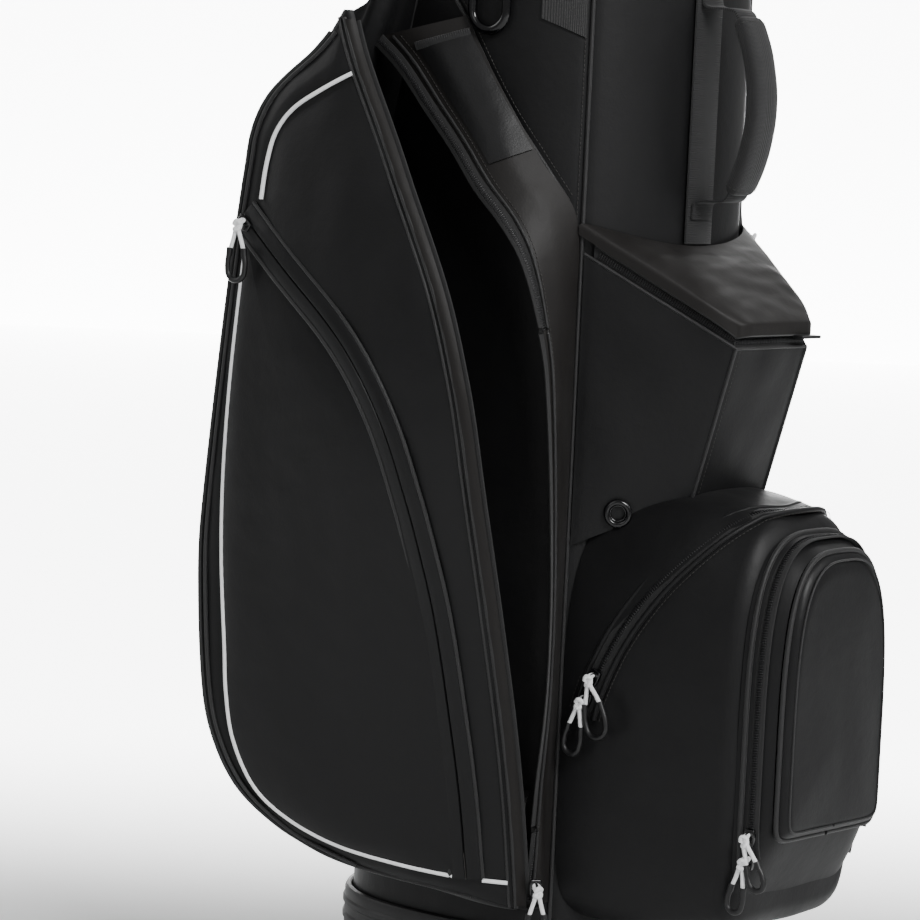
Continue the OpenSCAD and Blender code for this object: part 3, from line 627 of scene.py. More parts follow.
# %% Base cup and sole
base = ring_moulding("base_cup_moulding", [
    (-3, 3.2), (3.4, 3.2), (5.6, 5.4), (6, 12), (6, 55), (7.4, 56.5), (7.4, 60), (6, 61.5), (6, 68),
    (7.4, 69.5),
    (7.4, 73), (6, 74.5), (6, 80.5), (4.6, 83.4), (2, 84), (0.7, 82.8), (0.5, 78), (0.5, 8.5), (-3, 8.2),
    (-3, 3.2),
], MOULDED)
put(base, "bag", "moulded_black", "base_cup")
frame["nodes"]["base_sole"].data.materials.clear()
frame["nodes"]["base_sole"].data.materials.append(SOLE)

# %% Collar, its lift handles and the padded dividers
collar = ring_moulding("collar_moulding", [
    (-1.2, 850.4), (5.4, 850.4), (7, 852.5), (7, 868), (8.4, 870), (8.4, 874), (7, 876), (7, 911),
    (5.8, 916.6),
    (3.2, 919.6), (1.2, 919), (0.4, 915), (0.4, 872), (-1.2, 870.8), (-1.2, 850.4),
], MOULDED)
put(collar, "bag", "moulded_black", "top_collar")
for side, name in ((-1, "front"), (1, "rear")):
    bpy.ops.object.select_all(action="DESELECT")
    bpy.ops.mesh.primitive_cube_add(size=1, location=(0, side * (TUBE_B + 22) * MM, 909 * MM))
    grab = bpy.context.object
    grab.name = f"lift_handle_{name}"
    grab.scale = (124 * MM, 44 * MM, 14 * MM)
    bpy.ops.object.transform_apply(location=True, rotation=False, scale=True)
    bpy.ops.object.mode_set(mode="EDIT")
    bpy.ops.mesh.select_all(action="DESELECT")
    bpy.ops.object.mode_set(mode="OBJECT")
    for face in grab.data.polygons:
        face.select = abs(face.normal.z) > 0.9
    bpy.ops.object.mode_set(mode="EDIT")
    bpy.ops.mesh.select_mode(type="FACE")
    bpy.ops.mesh.inset(thickness=11 * MM, use_individual=True)
    bpy.ops.mesh.bridge_edge_loops()
    bpy.ops.mesh.select_all(action="SELECT")
    bpy.ops.mesh.normals_make_consistent(inside=False)
    bpy.ops.object.mode_set(mode="OBJECT")
    modify(grab, "BEVEL", width=3.2 * MM, segments=4)
    grab.data.materials.append(MOULDED)
    smooth(grab, 50)
    put(grab, "bag", "moulded_black")

bars = []
ROW_Y = (-70, 0, 70)
ROW_PARTS = ((-42, 42), (-66, 0, 66), (-66, 0, 66), (-42, 42))
ROW_ENDS = (-TUBE_B, -70, 0, 70, TUBE_B)
spans = [((-tube_side(abs(y)) + 3, y - 4), (tube_side(abs(y)) - 3, y + 4)) for y in ROW_Y]
for row, parts in enumerate(ROW_PARTS):
    for x in parts:
        low = -tube_front(x) + 3 if row == 0 else ROW_ENDS[row] + 3.6
        high = tube_front(x) - 3 if row == 3 else ROW_ENDS[row + 1] - 3.6
        spans.append(((x - 4, low), (x + 4, high)))
for (x0, y0), (x1, y1) in spans:
    bpy.ops.object.select_all(action="DESELECT")
    bpy.ops.mesh.primitive_cube_add(size=1, location=((x0 + x1) / 2 * MM, (y0 + y1) / 2 * MM, 889 * MM))
    bar = bpy.context.object
    bar.scale = ((x1 - x0) * MM, (y1 - y0) * MM, 22 * MM)
    bpy.ops.object.transform_apply(location=True, rotation=False, scale=True)
    modify(bar, "BEVEL", width=3.4 * MM, segments=4)
    bars.append(bar)
pick(bars[0])
for bar in bars:
    bar.select_set(True)
bpy.ops.object.join()
dividers = bpy.context.object
dividers.name = "padded_divider_bars"
dividers.data.materials.append(WEBBING)
smooth(dividers, 50)
put(dividers, "bag", "moulded_black", "divider_top")
for node, finish in (("club_dividers", LINING), ("tube_liner", LINER)):
    frame["nodes"][node].data.materials.clear()
    frame["nodes"][node].data.materials.append(finish)
print("divider bars:", len(spans))

# %% [markdown]
# ## The shoe door
# The door is a padded, slightly twisted panel. Its place comes from one rule, door_at: a distance u from
# the hinge, a height z, and how far out. The panel swells between its seams, so each point's distance to
# the nearest seam sets how high the padding stands there, and slow noise adds the folds. None of it is
# simulated: the swell and the folds are drawn, here and on the other padded panels.

# %% Door surface
DOOR_X, DOOR_Y, DOOR_T, DOOR_CROWN = -262, 149, 5, 14
DOOR_TURN = [(103, 27), (200, 22.5), (340, 13), (460, 5), (560, 2), (660, 2.5), (740, 6), (812, 11)]
DOOR_FRONT = [(103, 284), (200, 279), (340, 273), (470, 269), (530, 261), (600, 239), (690, 190),
              (773, 140), (812, 122)]
DOOR_REAR = [(103, 268), (112, 226), (124, 150), (138, 106), (156, 71), (183, 39), (222, 17), (262, 7),
             (346, 0), (400, 0), (552, 15), (690, 33), (718, 38), (746, 54), (767, 78), (785, 98), (812, 114)]
ISOTHERM_ZIP = [(40, 646), (84, 613), (138, 570), (170, 533), (194, 488), (209, 436), (218, 383),
                (224, 331), (229, 255), (233, 200), (238, 128)]
PIPING_UPPER = [(133, 762), (110, 749), (83, 732), (67, 712), (60, 687), (57, 660)]
PIPING_LOWER = [(40, 612), (30, 520), (25, 440), (25, 370), (29, 300), (31, 260), (38, 221), (57, 184),
                (88, 160), (131, 143), (180, 134), (226, 128)]
PIPING_CORNER = [(250, 126), (270, 125)]


def door_at(u, z, out=0):
    a = math.radians(curve(z, DOOR_TURN))
    rear, front = curve(z, DOOR_REAR), curve(z, DOOR_FRONT)
    s = max(0, min(1, (u - rear) / max(front - rear, 1)))
    out = out + DOOR_CROWN * math.sin(math.pi * s) * min(1, (front - rear) / 200)
    return Vector((DOOR_X + u * math.sin(a) - out * math.cos(a),
                   DOOR_Y - u * math.cos(a) - out * math.sin(a), z))


def door_out(z):
    a = math.radians(curve(z, DOOR_TURN))
    return Vector((-math.cos(a), -math.sin(a), 0))


def seam_map(*lines):
    """Finds the distance from a point (u, z) to the nearest of these seams."""
    points = [p for line in lines for p in smooth_line([(u, z, 0) for u, z in line], 3)]
    tree = kdtree.KDTree(len(points))
    for i, point in enumerate(points):
        tree.insert(point, i)
    tree.balance()
    return lambda u, z: tree.find((u, z, 0))[2]


STRIP = 8
door_levels = [lerp(104, 805, i / 120) for i in range(121)]
rear_seam = [(curve(z, DOOR_REAR) + 8, z) for z in door_levels[4:]]
front_seam = [(curve(z, DOOR_FRONT) - STRIP, z) for z in door_levels]
to_seam = seam_map(rear_seam, front_seam, PIPING_UPPER, PIPING_LOWER + PIPING_CORNER)
print("hinge to front edge:", round(curve(340, DOOR_FRONT)), "mm")


def door_place(s, t):
    z = lerp(103.5, 811.5, t)
    rear, front = curve(z, DOOR_REAR), curve(z, DOOR_FRONT)
    u = lerp(rear, front, s)
    swell = 2.6 * (1 - math.exp(-to_seam(u, z) / 16)) - 1.8
    rim = max(0, 1 - min(u - rear, front - u) / 5)
    folds = soft((u * 1.2, z * 0.3, 7), 46, 2.3) + soft((u, z, 3), 24, 0.35)
    return door_at(u, z, swell - 2.6 * rim ** 2 + folds * (1 - rim))


def on_door(piece, slot, *nodes):
    """The lower front corner stays sewn to the bag, so the door's cloth turns in only as it rises."""
    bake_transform(piece)
    if nodes:
        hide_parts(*nodes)
    return piece


panel = cloth_panel("door_panel", 110, 290, door_place, FABRIC, DOOR_T - 0.6)
on_door(panel, "coated_fabric", "shoe_door")


def strip_place(s, t):
    z = lerp(106, 804, t)
    u = curve(z, DOOR_FRONT) - STRIP * (1 - s) + 0.4
    return door_at(u, z, 0.9 - 3.6 * s ** 3 + soft((u, z, 5), 18, 0.3))


# The strip takes the lighter copy of the fabric, which is painted light.
strip = cloth_panel("door_front_strip", 8, 240, strip_place, FABRIC_PAINTED_LIGHT, 0.8)
on_door(strip, "coated_fabric")
print("door panel:", len(panel.data.polygons), "faces")


# %% Door piping, stitches and reflective piping
def door_line(keys, out, pitch=5):
    flat = smooth_line([(u, z, 0) for u, z in keys], pitch)
    return [door_at(p.x, p.y, out) for p in flat], [door_out(p.y) for p in flat]


for name, keys, radius in (
    ("rear_outer", [(curve(z, DOOR_REAR) + 1.5, z) for z in door_levels[1::3]], 1.9),
    ("rear_inner", [(u - 0.5, z) for u, z in rear_seam[::3]], 1.6),
    ("front_outer", [(curve(z, DOOR_FRONT) - STRIP + 0.5, z) for z in door_levels[::3]], 1.7),
    ("front_inner", [(curve(z, DOOR_FRONT) - STRIP - 5, z) for z in door_levels[::3]], 1.1),
):
    line, outs = door_line(keys, -0.6 if name != "rear_outer" else -1.4)
    cord = run(f"door_piping_{name}", line, outs, round_cord(radius), PIPING)
    on_door(cord, "piping_black", "door_piping")
line, outs = door_line([(u - 1, z) for u, z in front_seam[::3]], 0.6)
on_door(repeat("door_strip_stitches", STITCH, line, outs, 3.6, THREAD, (4, 0.1)), "coated_fabric")
for name, keys in (("upper", PIPING_UPPER), ("lower", PIPING_LOWER), ("corner", PIPING_CORNER)):
    line, outs = door_line(keys, 0.4)
    cord = run(f"reflective_piping_{name}", line, outs, round_cord(1.75), REFLECTIVE)
    on_door(cord, "piping_reflective", "reflective_piping")


# %% [markdown]
# ## The insulated pocket on the door
# A second padded panel lies inside the white piping, and a covered zip runs round its front. The cover is
# a folded strip with a ridge on either side, so its section is drawn once and carried along the zip's
# line.

# %% Insulated pocket
BAND = 12.5
ISOTHERM_FRONT = [(z, u) for u, z in reversed(ISOTHERM_ZIP)]
ISOTHERM_REAR = [(z, u) for u, z in reversed(PIPING_LOWER)]
isotherm_edges = seam_map(PIPING_LOWER, [(u - 4, z - 10) for u, z in ISOTHERM_ZIP])


def isotherm_place(s, t):
    z = lerp(131, 628, t)
    front = curve(z + 6, ISOTHERM_FRONT) - 6
    rear = min(curve(z, ISOTHERM_REAR) + 1.5, front - 2)
    u = lerp(rear, front, s)
    swell = 4.2 * (1 - math.exp(-isotherm_edges(u, z) / 13))
    folds = soft((u * 1.1, z * 0.4, 11), 52, 1.6) + soft((u, z, 1), 22, 0.3)
    return door_at(u, z, 0.2 + swell + folds * min(1, swell / 3))


pocket = cloth_panel("insulated_pocket_panel", 90, 210, isotherm_place, FABRIC_PANEL, 2.0)
on_door(pocket, "coated_fabric", "isotherm_panel")
cover = [(-BAND, 0), (-BAND, 1.4), (-BAND + 2, 2.6), (-4, 3.2), (-1, 3.4), (0.2, 1.6), (0.6, 3.2),
         (1.8, 3.9),
         (6, 3.3), (BAND - 2, 2.6), (BAND, 1.4), (BAND, 0)]
line, outs = door_line(ISOTHERM_ZIP, 0.4)
on_door(run("insulated_zip_cover", line, outs, cover, FABRIC_PANEL), "coated_fabric", "isotherm_zip_tape")
for name, side, radius in (("lower", -BAND - 1, 1.9), ("upper", BAND + 1, 1.4)):
    edge = [p + across * side for p, across, _, _ in frames_of(line, outs)]
    cord = run(f"insulated_zip_piping_{name}", edge, outs, round_cord(radius, lift=1.0), PIPING)
    on_door(cord, "piping_black")
bar_tack = repeat("insulated_zip_tack", STITCH, line[-6:], outs[-6:], 1.2, THREAD, (0, 3.6))
on_door(bar_tack, "coated_fabric")
print("covered zip:", round(sum((b - a).length for a, b in zip(line, line[1:]))), "mm")


# %% Door lining and the zip on its edge
def lining_place(s, t):
    z = lerp(128, 800, t)
    rear, front = curve(z, DOOR_REAR) + 4, curve(z, DOOR_FRONT) - 4
    u = lerp(rear, max(front, rear + 1), s)
    quilt = 0.8 * abs(math.sin(math.pi * (u + z) / 46)) * abs(math.sin(math.pi * (u - z) / 46))
    return door_at(u, z, -DOOR_T - 0.6 - quilt)


lining = cloth_panel("door_lining_mesh", 60, 160, lining_place, MESH_CLOTH)
pick(lining)
bpy.ops.object.mode_set(mode="EDIT")
bpy.ops.mesh.select_all(action="SELECT")
bpy.ops.mesh.flip_normals()
bpy.ops.object.mode_set(mode="OBJECT")
modify(lining, "SOLIDIFY", thickness=0.8 * MM, offset=-1)
on_door(lining, "lining_fabric", "door_lining")
levels = [lerp(118, 802, i / 130) for i in range(131)]
line = [door_at(curve(z, DOOR_FRONT) - 1.5, z, -DOOR_T + 0.4) for z in levels]
outs = [door_out(z) for z in levels]
on_door(run("door_zip_tape_strip", line, outs, flat_band(9, 1.4, -1.0), TAPE), "zip_tape",
        "door_zip_tape")
on_door(repeat("door_zip_teeth", TOOTH, line, outs, 2.0, COIL, (4.6, -0.2)), "zip_tape")

# %% [markdown]
# ## Inside the shoe compartment
# A gusset joins the tube to the zip, bellows close the rear, and a floor carries the shoes. On the real bag
# the rear bellows fold as the door swings; here they are one fixed, pleated sheet between the bag and the
# door that rides on neither.

# %% Front gusset
EDGE_X = [(108, -123), (150, -126), (200, -131), (285, -134), (387, -135), (531, -145), (585, -150),
          (652, -158), (708, -162), (792, -165)]
EDGE_Y = [(108, -99), (150, -104), (200, -110), (285, -118), (387, -117), (531, -112), (585, -102),
          (625, -89), (652, -70), (678, -44), (708, -20), (740, 10), (772, 40), (792, 66)]
SEAM_TURN = [(100, 224), (600, 224), (660, 222), (700, 209), (745, 196), (790, 185), (830, 178)]


def edge_at(z):
    return Vector((curve(z, EDGE_X), curve(z, EDGE_Y), z))


def gusset_seam(z):
    return skin_at(curve(z, SEAM_TURN), z, 2)


def gusset_at(s, z, out=0):
    """s is 0 at the zip's edge and 1 at the tube's seam."""
    start, stop = edge_at(z), gusset_seam(z + 20 * max(0, min(1, (z - 620) / 60)))
    bow = math.sin(math.pi * s)
    folds = soft((s * 60, z * 0.5, 2), 34, 2.2) * bow
    return start.lerp(stop, s) + Vector((-5 - folds, -3 - folds, 0)) * bow + Vector((-0.6, -0.8, 0)) * out


# The gusset takes the lighter copy of the fabric, which is painted light.
gusset = cloth_panel("shoe_gusset", 34, 240, lambda s, t: gusset_at(s, lerp(106, 792, t)), FABRIC_PAINTED_LIGHT,
                     1.4)
put(gusset, "bag", "coated_fabric", "shoe_front_gusset")
levels = [lerp(108, 790, i / 140) for i in range(141)]
line = [edge_at(z) for z in levels]
outs = [(-(gusset_seam(z) - edge_at(z)).cross(Vector((0, 0, 1)))).normalized() for z in levels]
outs = [o if o.y < 0 or o.x < 0 else -o for o in outs]
put(run("shoe_zip_tape_strip", line, outs, flat_band(11, 1.0, 0.2), TAPE), "bag", "zip_tape",
    "shoe_zip_tape")
teeth("shoe_zip_teeth", line, outs, "bag", shift=(0, 1.0))
binding = [gusset_at(0.16, z, 1.2) for z in levels]
put(run("shoe_gusset_binding", binding, outs, round_cord(1.2), PIPING), "bag", "piping_black")
stitches("shoe_gusset_stitches", [gusset_at(0.24, z, 0.6) for z in levels], outs, "bag", "coated_fabric")
print("zip edge:", round(sum((b - a).length for a, b in zip(line, line[1:]))), "mm")


# %% Slip pocket at the gusset's top
def slip_place(s, t):
    z = lerp(690, 780, t)
    return gusset_at(lerp(0.3, 0.96, s), z, 2.2 + 2.5 * math.sin(math.pi * s) * t)


slip = cloth_panel("shoe_slip_pocket_panel", 18, 36, slip_place, FABRIC_PANEL, 1.0)
put(slip, "bag", "lining_fabric", "shoe_slip_pocket")
hem = [slip_place(i / 18, 1.0) for i in range(19)]
put(run("shoe_slip_pocket_hem", hem, [Vector((-0.6, -0.8, 0))] * 19, flat_band(7, 1.0), WEBBING), "bag",
    "webbing")


# %% Rear bellows and floor
def bellows_place(s, t):
    z = lerp(150, 806, t)
    far = door_at(curve(z, DOOR_REAR) + 4, z, -DOOR_T - 2)
    near = skin_at(curve(z, [(150, 138), (650, 140), (806, 165)]), z + 44 * max(0, (z - 640) / 166) ** 2,
                   -1)
    width = (far - near).length
    pleat = 5 * math.cos(2 * math.pi * 2 * s) * math.sin(math.pi * s) * min(1, width / 110)
    bow = math.sin(math.pi * s) * (8 * min(1, width / 120)) + pleat + soft((s * 90, z * 0.6, 9), 50, 2.4)
    return near.lerp(far, s) + Vector((0, bow, 0))


bellows = cloth_panel("shoe_rear_bellows", 60, 170, bellows_place, FABRIC, 1.6)
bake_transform(bellows)
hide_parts("shoe_rear_gusset")
tube_seam = [bellows_place(0, i / 60) for i in range(61)]
outs = [Vector((p.x, p.y, 0)).normalized() for p in tube_seam]
put(run("shoe_bellows_piping", tube_seam, outs, round_cord(2.6), PIPING), "bag", "piping_black")
FLOOR_RISE = [(0, 108), (0.17, 110), (0.33, 113), (0.5, 119), (0.67, 128), (0.83, 143), (1, 162)]


def floor_place(s, t):
    z = curve(t, FLOOR_RISE)
    far = door_at(curve(z, DOOR_REAR) + 5, z + 3, -DOOR_T - 1)
    near = skin_at(lerp(222, 140, t), lerp(102, 158, t ** 2), 2)
    return far.lerp(near, s) - Vector((0, 0, 5 * math.sin(math.pi * s)))


shoe_floor = cloth_panel("shoe_floor_panel", 30, 60, floor_place, LINING, 1.6)
put(shoe_floor, "bag", "lining_fabric", "shoe_floor")
print("bellows:", len(bellows.data.polygons), "faces")

# %% Webbing loop low in the compartment
loop_line = smooth_line([(-121, -92, 150), (-127, -91, 160), (-129, -90, 174), (-127, -89, 188),
                         (-122, -89, 196)], 3)
loop_outs = [Vector((-1, 0.2, 0)).normalized()] * len(loop_line)
put(run("shoe_inner_loop", loop_line, loop_outs, flat_band(14, 1.6), WEBBING), "bag", "webbing")

# %% [markdown]
# ## Pockets at the front
# A pocket is one soft box: a front that swells a little and walls that run back to the tube. Starting
# from a grid and sending its square rings to the pocket's rounded outline keeps the points even and
# leaves no pole in the middle, which a spun or lofted cap would have.

# %% Soft boxes
def outline(a, b, half, low, middle, top, above, below):
    """Where direction (a, b) of a square meets an outline that is boxy below its middle and arched above."""
    n = above if b >= 0 else below
    k = max(abs(a) ** n + abs(b) ** n, 1e-12) ** (-1 / n)
    return half * a * k, middle + ((top - middle) if b >= 0 else (middle - low)) * b * k


def square_ring(s, t):
    """How far (s, t) lies from the middle of its square, from 0 to 1, and its direction on the square."""
    a, b = 2 * s - 1, 2 * t - 1
    reach = max(abs(a), abs(b))
    return (reach, a / reach, b / reach) if reach > 1e-6 else (0, 1, 0)


def perimeter(s):
    """Walks once round a square, from its left side over the top to the right and back below."""
    k = (s % 1) * 4
    i, f = int(k), 2 * (k % 1) - 1
    return [(-1, f), (f, 1), (1, -f), (-f, -1)][i]


# %% Ball pocket
BALL_Y, BALL_TOP, BALL_W = -268, 442, 84
ZIP_Z = [(0, 200), (0.12, 262), (0.27, 318), (0.42, 366), (0.57, 404), (0.72, 428), (0.86, 440), (1, 446)]
ZIP_Y = [(0, -124), (0.12, -131), (0.27, -152), (0.42, -182), (0.57, -214), (0.72, -236), (0.86, -246),
         (1, -250)]


def ball_ring(t, a, b, grow=0):
    nose = 9 * max(0, (t - 0.9) / 0.1) ** 2
    half = lerp(104, BALL_W, t) - nose + grow
    top = BALL_TOP + 6 * math.sin(math.pi * t) - 14 * t - nose + grow
    x, z = outline(a, b, half, lerp(90, 108, t ** 2) + nose - grow, 235, top, lerp(4.2, 3.2, t), 7)
    return Vector((x, lerp(-tube_front(min(abs(x), 107)) - 1.5, BALL_Y - grow, t), z))


def ball_place(s, t):
    reach, a, b = square_ring(s, t)
    if reach < 0.5:
        rim = ball_ring(1, a, b)
        middle = Vector((0, BALL_Y, 240))
        share = reach / 0.5
        point = middle.lerp(rim, share) - Vector((0, 2.5 * (1 - share ** 2), 0))
    else:
        point = ball_ring((1 - reach) / 0.5, a, b, 1.6 * math.sin(2 * math.pi * (reach - 0.5)))
    fold = soft((point.x, point.y * 1.3, point.z * 0.7), 48, 1.7) + soft(point, 20, 0.3)
    away = Vector((point.x, -60 if reach < 0.6 else 0, point.z - 240)).normalized()
    return point + fold * min(1, 4 * (1 - reach)) * away


ball = cloth_panel("ball_pocket_shell", 190, 190, ball_place, FABRIC, 2.0)
put(ball, "bag", "coated_fabric", "ball_pocket")


def ball_side(y, z):
    t = max(0, min(0.9, (-y - 112) / (-BALL_Y - 112)))
    top, n = BALL_TOP + 6 * math.sin(math.pi * t) - 14 * t, lerp(4.2, 3.2, t)
    v = max(0, min(0.9999, (z - 235) / (top - 235)))
    return lerp(104, BALL_W, t) * (1 - v ** n) ** (1 / n)


def ball_crest(x, y):
    t = (-y - 112) / (-BALL_Y - 112)
    top, n = BALL_TOP + 6 * math.sin(math.pi * t) - 14 * t, lerp(4.2, 3.2, t)
    return 235 + (top - 235) * (1 - (abs(x) / lerp(104, BALL_W, t)) ** n) ** (1 / n)


def ball_zip_line():
    half, outs = [], []
    for i in range(23):
        s = lerp(0.12, 0.7, i / 22)
        z, y = curve(s, ZIP_Z), curve(s, ZIP_Y)
        half.append(Vector((-ball_side(y, z) - 2, y, z)))
        outs.append(Vector((-1, 0, 1.6 * s ** 2)).normalized())
    for i in range(7):
        x = lerp(-38, 0, i / 6)
        y = lerp(-250, -241, (x / 38) ** 2)
        half.append(Vector((x, y, ball_crest(x, y) + 2)))
        outs.append(Vector((x / 60, 0, 1)).normalized())
    mirror = Vector((-1, 1, 1))
    line = half + [p * mirror for p in reversed(half[:-1])]
    return line, outs + [o * mirror for o in reversed(outs[:-1])]


line, outs = ball_zip_line()
put(run("ball_zip_tape_strip", line, outs, flat_band(17, 1.4, -0.8), TAPE), "bag", "zip_tape",
    "ball_zip_tape")
teeth("ball_zip_teeth", line, outs, "bag", shift=(0, 0.9), pitch=2.2)
for name, side, radius in (("rear", -10, 2.4), ("front", 10, 2.4)):
    edge = [p + across * side for p, across, _, _ in frames_of(line, outs)]
    cord = run(f"ball_zip_piping_{name}", edge, outs, round_cord(radius, lift=0.6), FABRIC)
    put(cord, "bag", "piping_black", *(["ball_piping"] if name == "rear" else []))
    edge = [p + across * side * 1.55 for p, across, _, _ in frames_of(line, outs)]
    stitches(f"ball_zip_stitches_{name}", edge, outs, "bag", "coated_fabric", shift=(0, 0.2))
print("ball pocket:", len(ball.data.polygons), "faces")

# %% [markdown]
# ## Front pocket
# The small front pocket has a gusset with its own zip, a flap that hinges on its bottom seam, and below
# that a chin where the gusset slopes back. The flap is a padded panel with piping all round.

# %% Front pocket
FLAP_Y, FLAP_W, FLAP_Z, FLAP_TOP = -298, 67, 182, 406


def front_ring(t, a, b, grow=0):
    y = lerp(BALL_Y + 3, FLAP_Y + 5, t)
    half, top = lerp(80, FLAP_W + 1, t) + grow, lerp(420, FLAP_TOP + 1, t) + grow
    x, z = outline(a, b, half, lerp(126, FLAP_Z - 1, t) - grow, 250, top, 3.2, 7)
    return Vector((x, y, z))


def front_place(s, t):
    a, b = perimeter(s)
    return front_ring(t, a, b, 1.6 * math.sin(math.pi * t) + soft((s * 500, t * 40, 4), 30, 0.5))


gusset = cloth_panel("front_pocket_gusset", 320, 24, front_place, FABRIC)
merge(gusset)
modify(gusset, "SOLIDIFY", thickness=1.6 * MM, offset=1)
smooth(gusset)
put(gusset, "bag", "coated_fabric", "front_gusset")


def flap_place(s, t):
    reach, a, b = square_ring(s, t)
    x, z = outline(a, b, FLAP_W, FLAP_Z, 250, FLAP_TOP, 3.2, 14)
    x, z = lerp(0, x, reach), lerp(262, z, reach)
    edge = min(1, (1 - reach) * FLAP_W / 9)
    roll = 9.5 * (1 - math.sqrt(1 - (1 - edge) ** 2))
    swell = 2.4 * (1 - reach ** 2) + soft((x, z * 0.6, 8), 38, 0.9) * edge
    return Vector((x, FLAP_Y - 6 + roll - swell, z))


flap = cloth_panel("front_flap_panel", 120, 140, flap_place, FABRIC_PANEL, 3.0)
put(flap, "flap", "coated_fabric", "front_flap")
around = [perimeter(0.875 + (i + 0.5) / 160) for i in range(160)]
forward = [Vector((0, -1, 0))] * 160


def flap_line(inset, y):
    points = [outline(a, b, FLAP_W - inset, FLAP_Z + inset, 250, FLAP_TOP - inset, 3.2, 14)
              for a, b in around]
    return [Vector((x, y, z)) for x, z in points]


put(run("flap_piping_outer", flap_line(-0.6, FLAP_Y + 1.6), forward, round_cord(2.1), PIPING), "flap",
    "piping_black", "flap_piping")
put(run("flap_piping_inner", flap_line(6, FLAP_Y - 6.2), forward, round_cord(0.9), PIPING), "flap",
    "piping_black")


def gusset_line(t, grow, first=0.0, last=0.75, steps=150):
    """Along the gusset from its lower left, over the arch, to its lower right."""
    line, outs = [], []
    for i in range(steps + 1):
        a, b = perimeter(lerp(first, last, i / steps))
        line.append(front_ring(t, a, b, grow))
        outs.append((front_ring(t, a, b, grow + 1) - front_ring(t, a, b, grow)).normalized())
    return line, outs


line, outs = gusset_line(0.54, 2.6, 0.012, 0.725)
put(run("front_zip_tape_strip", line, outs, flat_band(13, 1.2, -0.4), TAPE), "bag", "zip_tape",
    "front_zip_tape")
teeth("front_zip_teeth", line, outs, "bag", shift=(0, 1.1))
line, outs = gusset_line(0.22, 1.4, 0.006, 0.742)
put(run("front_zip_piping", line, outs, round_cord(2.1, lift=0.6), PIPING), "bag", "piping_black")
print("front flap:", len(flap.data.polygons), "faces")

# %% [markdown]
# ## Valuables pocket
# A box with sharp seams at its two front corners and a soft lid. The lid is one piece of cloth that
# hangs from the tube over the rim, so its rule sags between the ends and wrinkles where it is sewn.

# %% Valuables pocket
MID_W, MID_Y = 48, -221
LEFT_OUT, RIGHT_OUT = Vector((-0.89, -0.45, 0)), Vector((0.89, -0.45, 0))
WALLS_LOW = [(-106, -110, 396), (-MID_W, -186, 438), (MID_W, -186, 438), (106, -110, 396)]
WALLS_HIGH = [(-106, -110, 628), (-MID_W, MID_Y, 560), (MID_W, MID_Y, 560), (106, -110, 628)]


def along_keys(keys, s):
    i = min(int(s), 2)
    return Vector(keys[i]).lerp(Vector(keys[i + 1]), s - i)


def walls_place(s, t):
    k = 3 * s
    low, high = along_keys(WALLS_LOW, k), along_keys(WALLS_HIGH, k)
    face = k - min(int(k), 2)
    out = LEFT_OUT if k < 1 else RIGHT_OUT if k > 2 else Vector((0, -1, 0.2))
    middle = math.sin(math.pi * face)
    bulge = 3.5 * middle * math.sin(math.pi * t) - 0.8 * dip(min(face, 1 - face) * 90, 5)
    point = low.lerp(high, t)
    return point + out * (bulge + soft((k * 90, t * 130, 3), 42, 3.2) * middle * (0.4 + 0.6 * t))


walls = cloth_panel("valuables_pocket_walls", 180, 80, walls_place, FABRIC, 1.8)
put(walls, "bag", "coated_fabric", "valuables_walls")
for side, k in (("left", 1), ("right", 2)):
    line = [walls_place(k / 3, i / 40) for i in range(41)]
    sign = -1 if k == 1 else 1
    outs = [Vector((sign * 0.6, -0.8, 0))] * 41
    put(run(f"valuables_corner_{side}", line, outs, round_cord(1.5), PIPING), "bag", "piping_black")
    beside = [walls_place((k + 0.06) / 3, i / 40) for i in range(41)]
    stitches(f"valuables_stitches_{side}", beside, [Vector((0, -1, 0.2)).normalized()] * 41, "bag",
             "coated_fabric")
rim = [walls_place(i / 150, 1.0) for i in range(151)]
rim_outs = [LEFT_OUT if i < 50 else RIGHT_OUT if i > 100 else Vector((0, -1, 0)) for i in range(151)]
lower = [p - Vector((0, 0, 7)) for p in rim]
put(run("valuables_zip_tape_strip", lower[104:146], rim_outs[104:146], flat_band(11, 1.2, 0.2), TAPE),
    "bag", "zip_tape", "valuables_zip_tape")
teeth("valuables_zip_teeth", lower[104:146], rim_outs[104:146], "bag", shift=(0, 1.4))


def pocket_floor(s, t):
    x = lerp(-74, 74, s) * lerp(1, 0.58, t)
    return Vector((x, lerp(-tube_front(74) - 22, -181, t), 459 - 2 * math.sin(math.pi * s)))


put(cloth_panel("valuables_pocket_floor", 24, 16, pocket_floor, LINING, 1.5), "bag", "lining_fabric",
    "valuables_floor")


def rim_at(s, inward, up):
    point = walls_place(s, 1.0)
    side = -LEFT_OUT if s < 0.33 else -RIGHT_OUT if s > 0.67 else Vector((0, 1, 0))
    return point + side * inward + Vector((0, 0, up))


guard = cloth_panel("valuables_zip_guard", 150, 6,
                    lambda s, t: rim_at(lerp(0.02, 0.98, s), 3 - math.sin(math.pi * t), lerp(-5, 14, t)),
                    TAPE, 1.2)
put(guard, "bag", "zip_tape")
put(run("valuables_rim_piping", [p + Vector((0, 0, 0.5)) for p in rim], rim_outs, round_cord(1.3),
        PIPING), "bag", "piping_black")
guard_line = [rim_at(lerp(0.03, 0.66, i / 95), 2, 6) for i in range(96)]
teeth("valuables_guard_teeth", guard_line, rim_outs[5:101], "bag", shift=(0, 0.8))

LID_REAR_Z, LID_HEM_Z = 652, 580


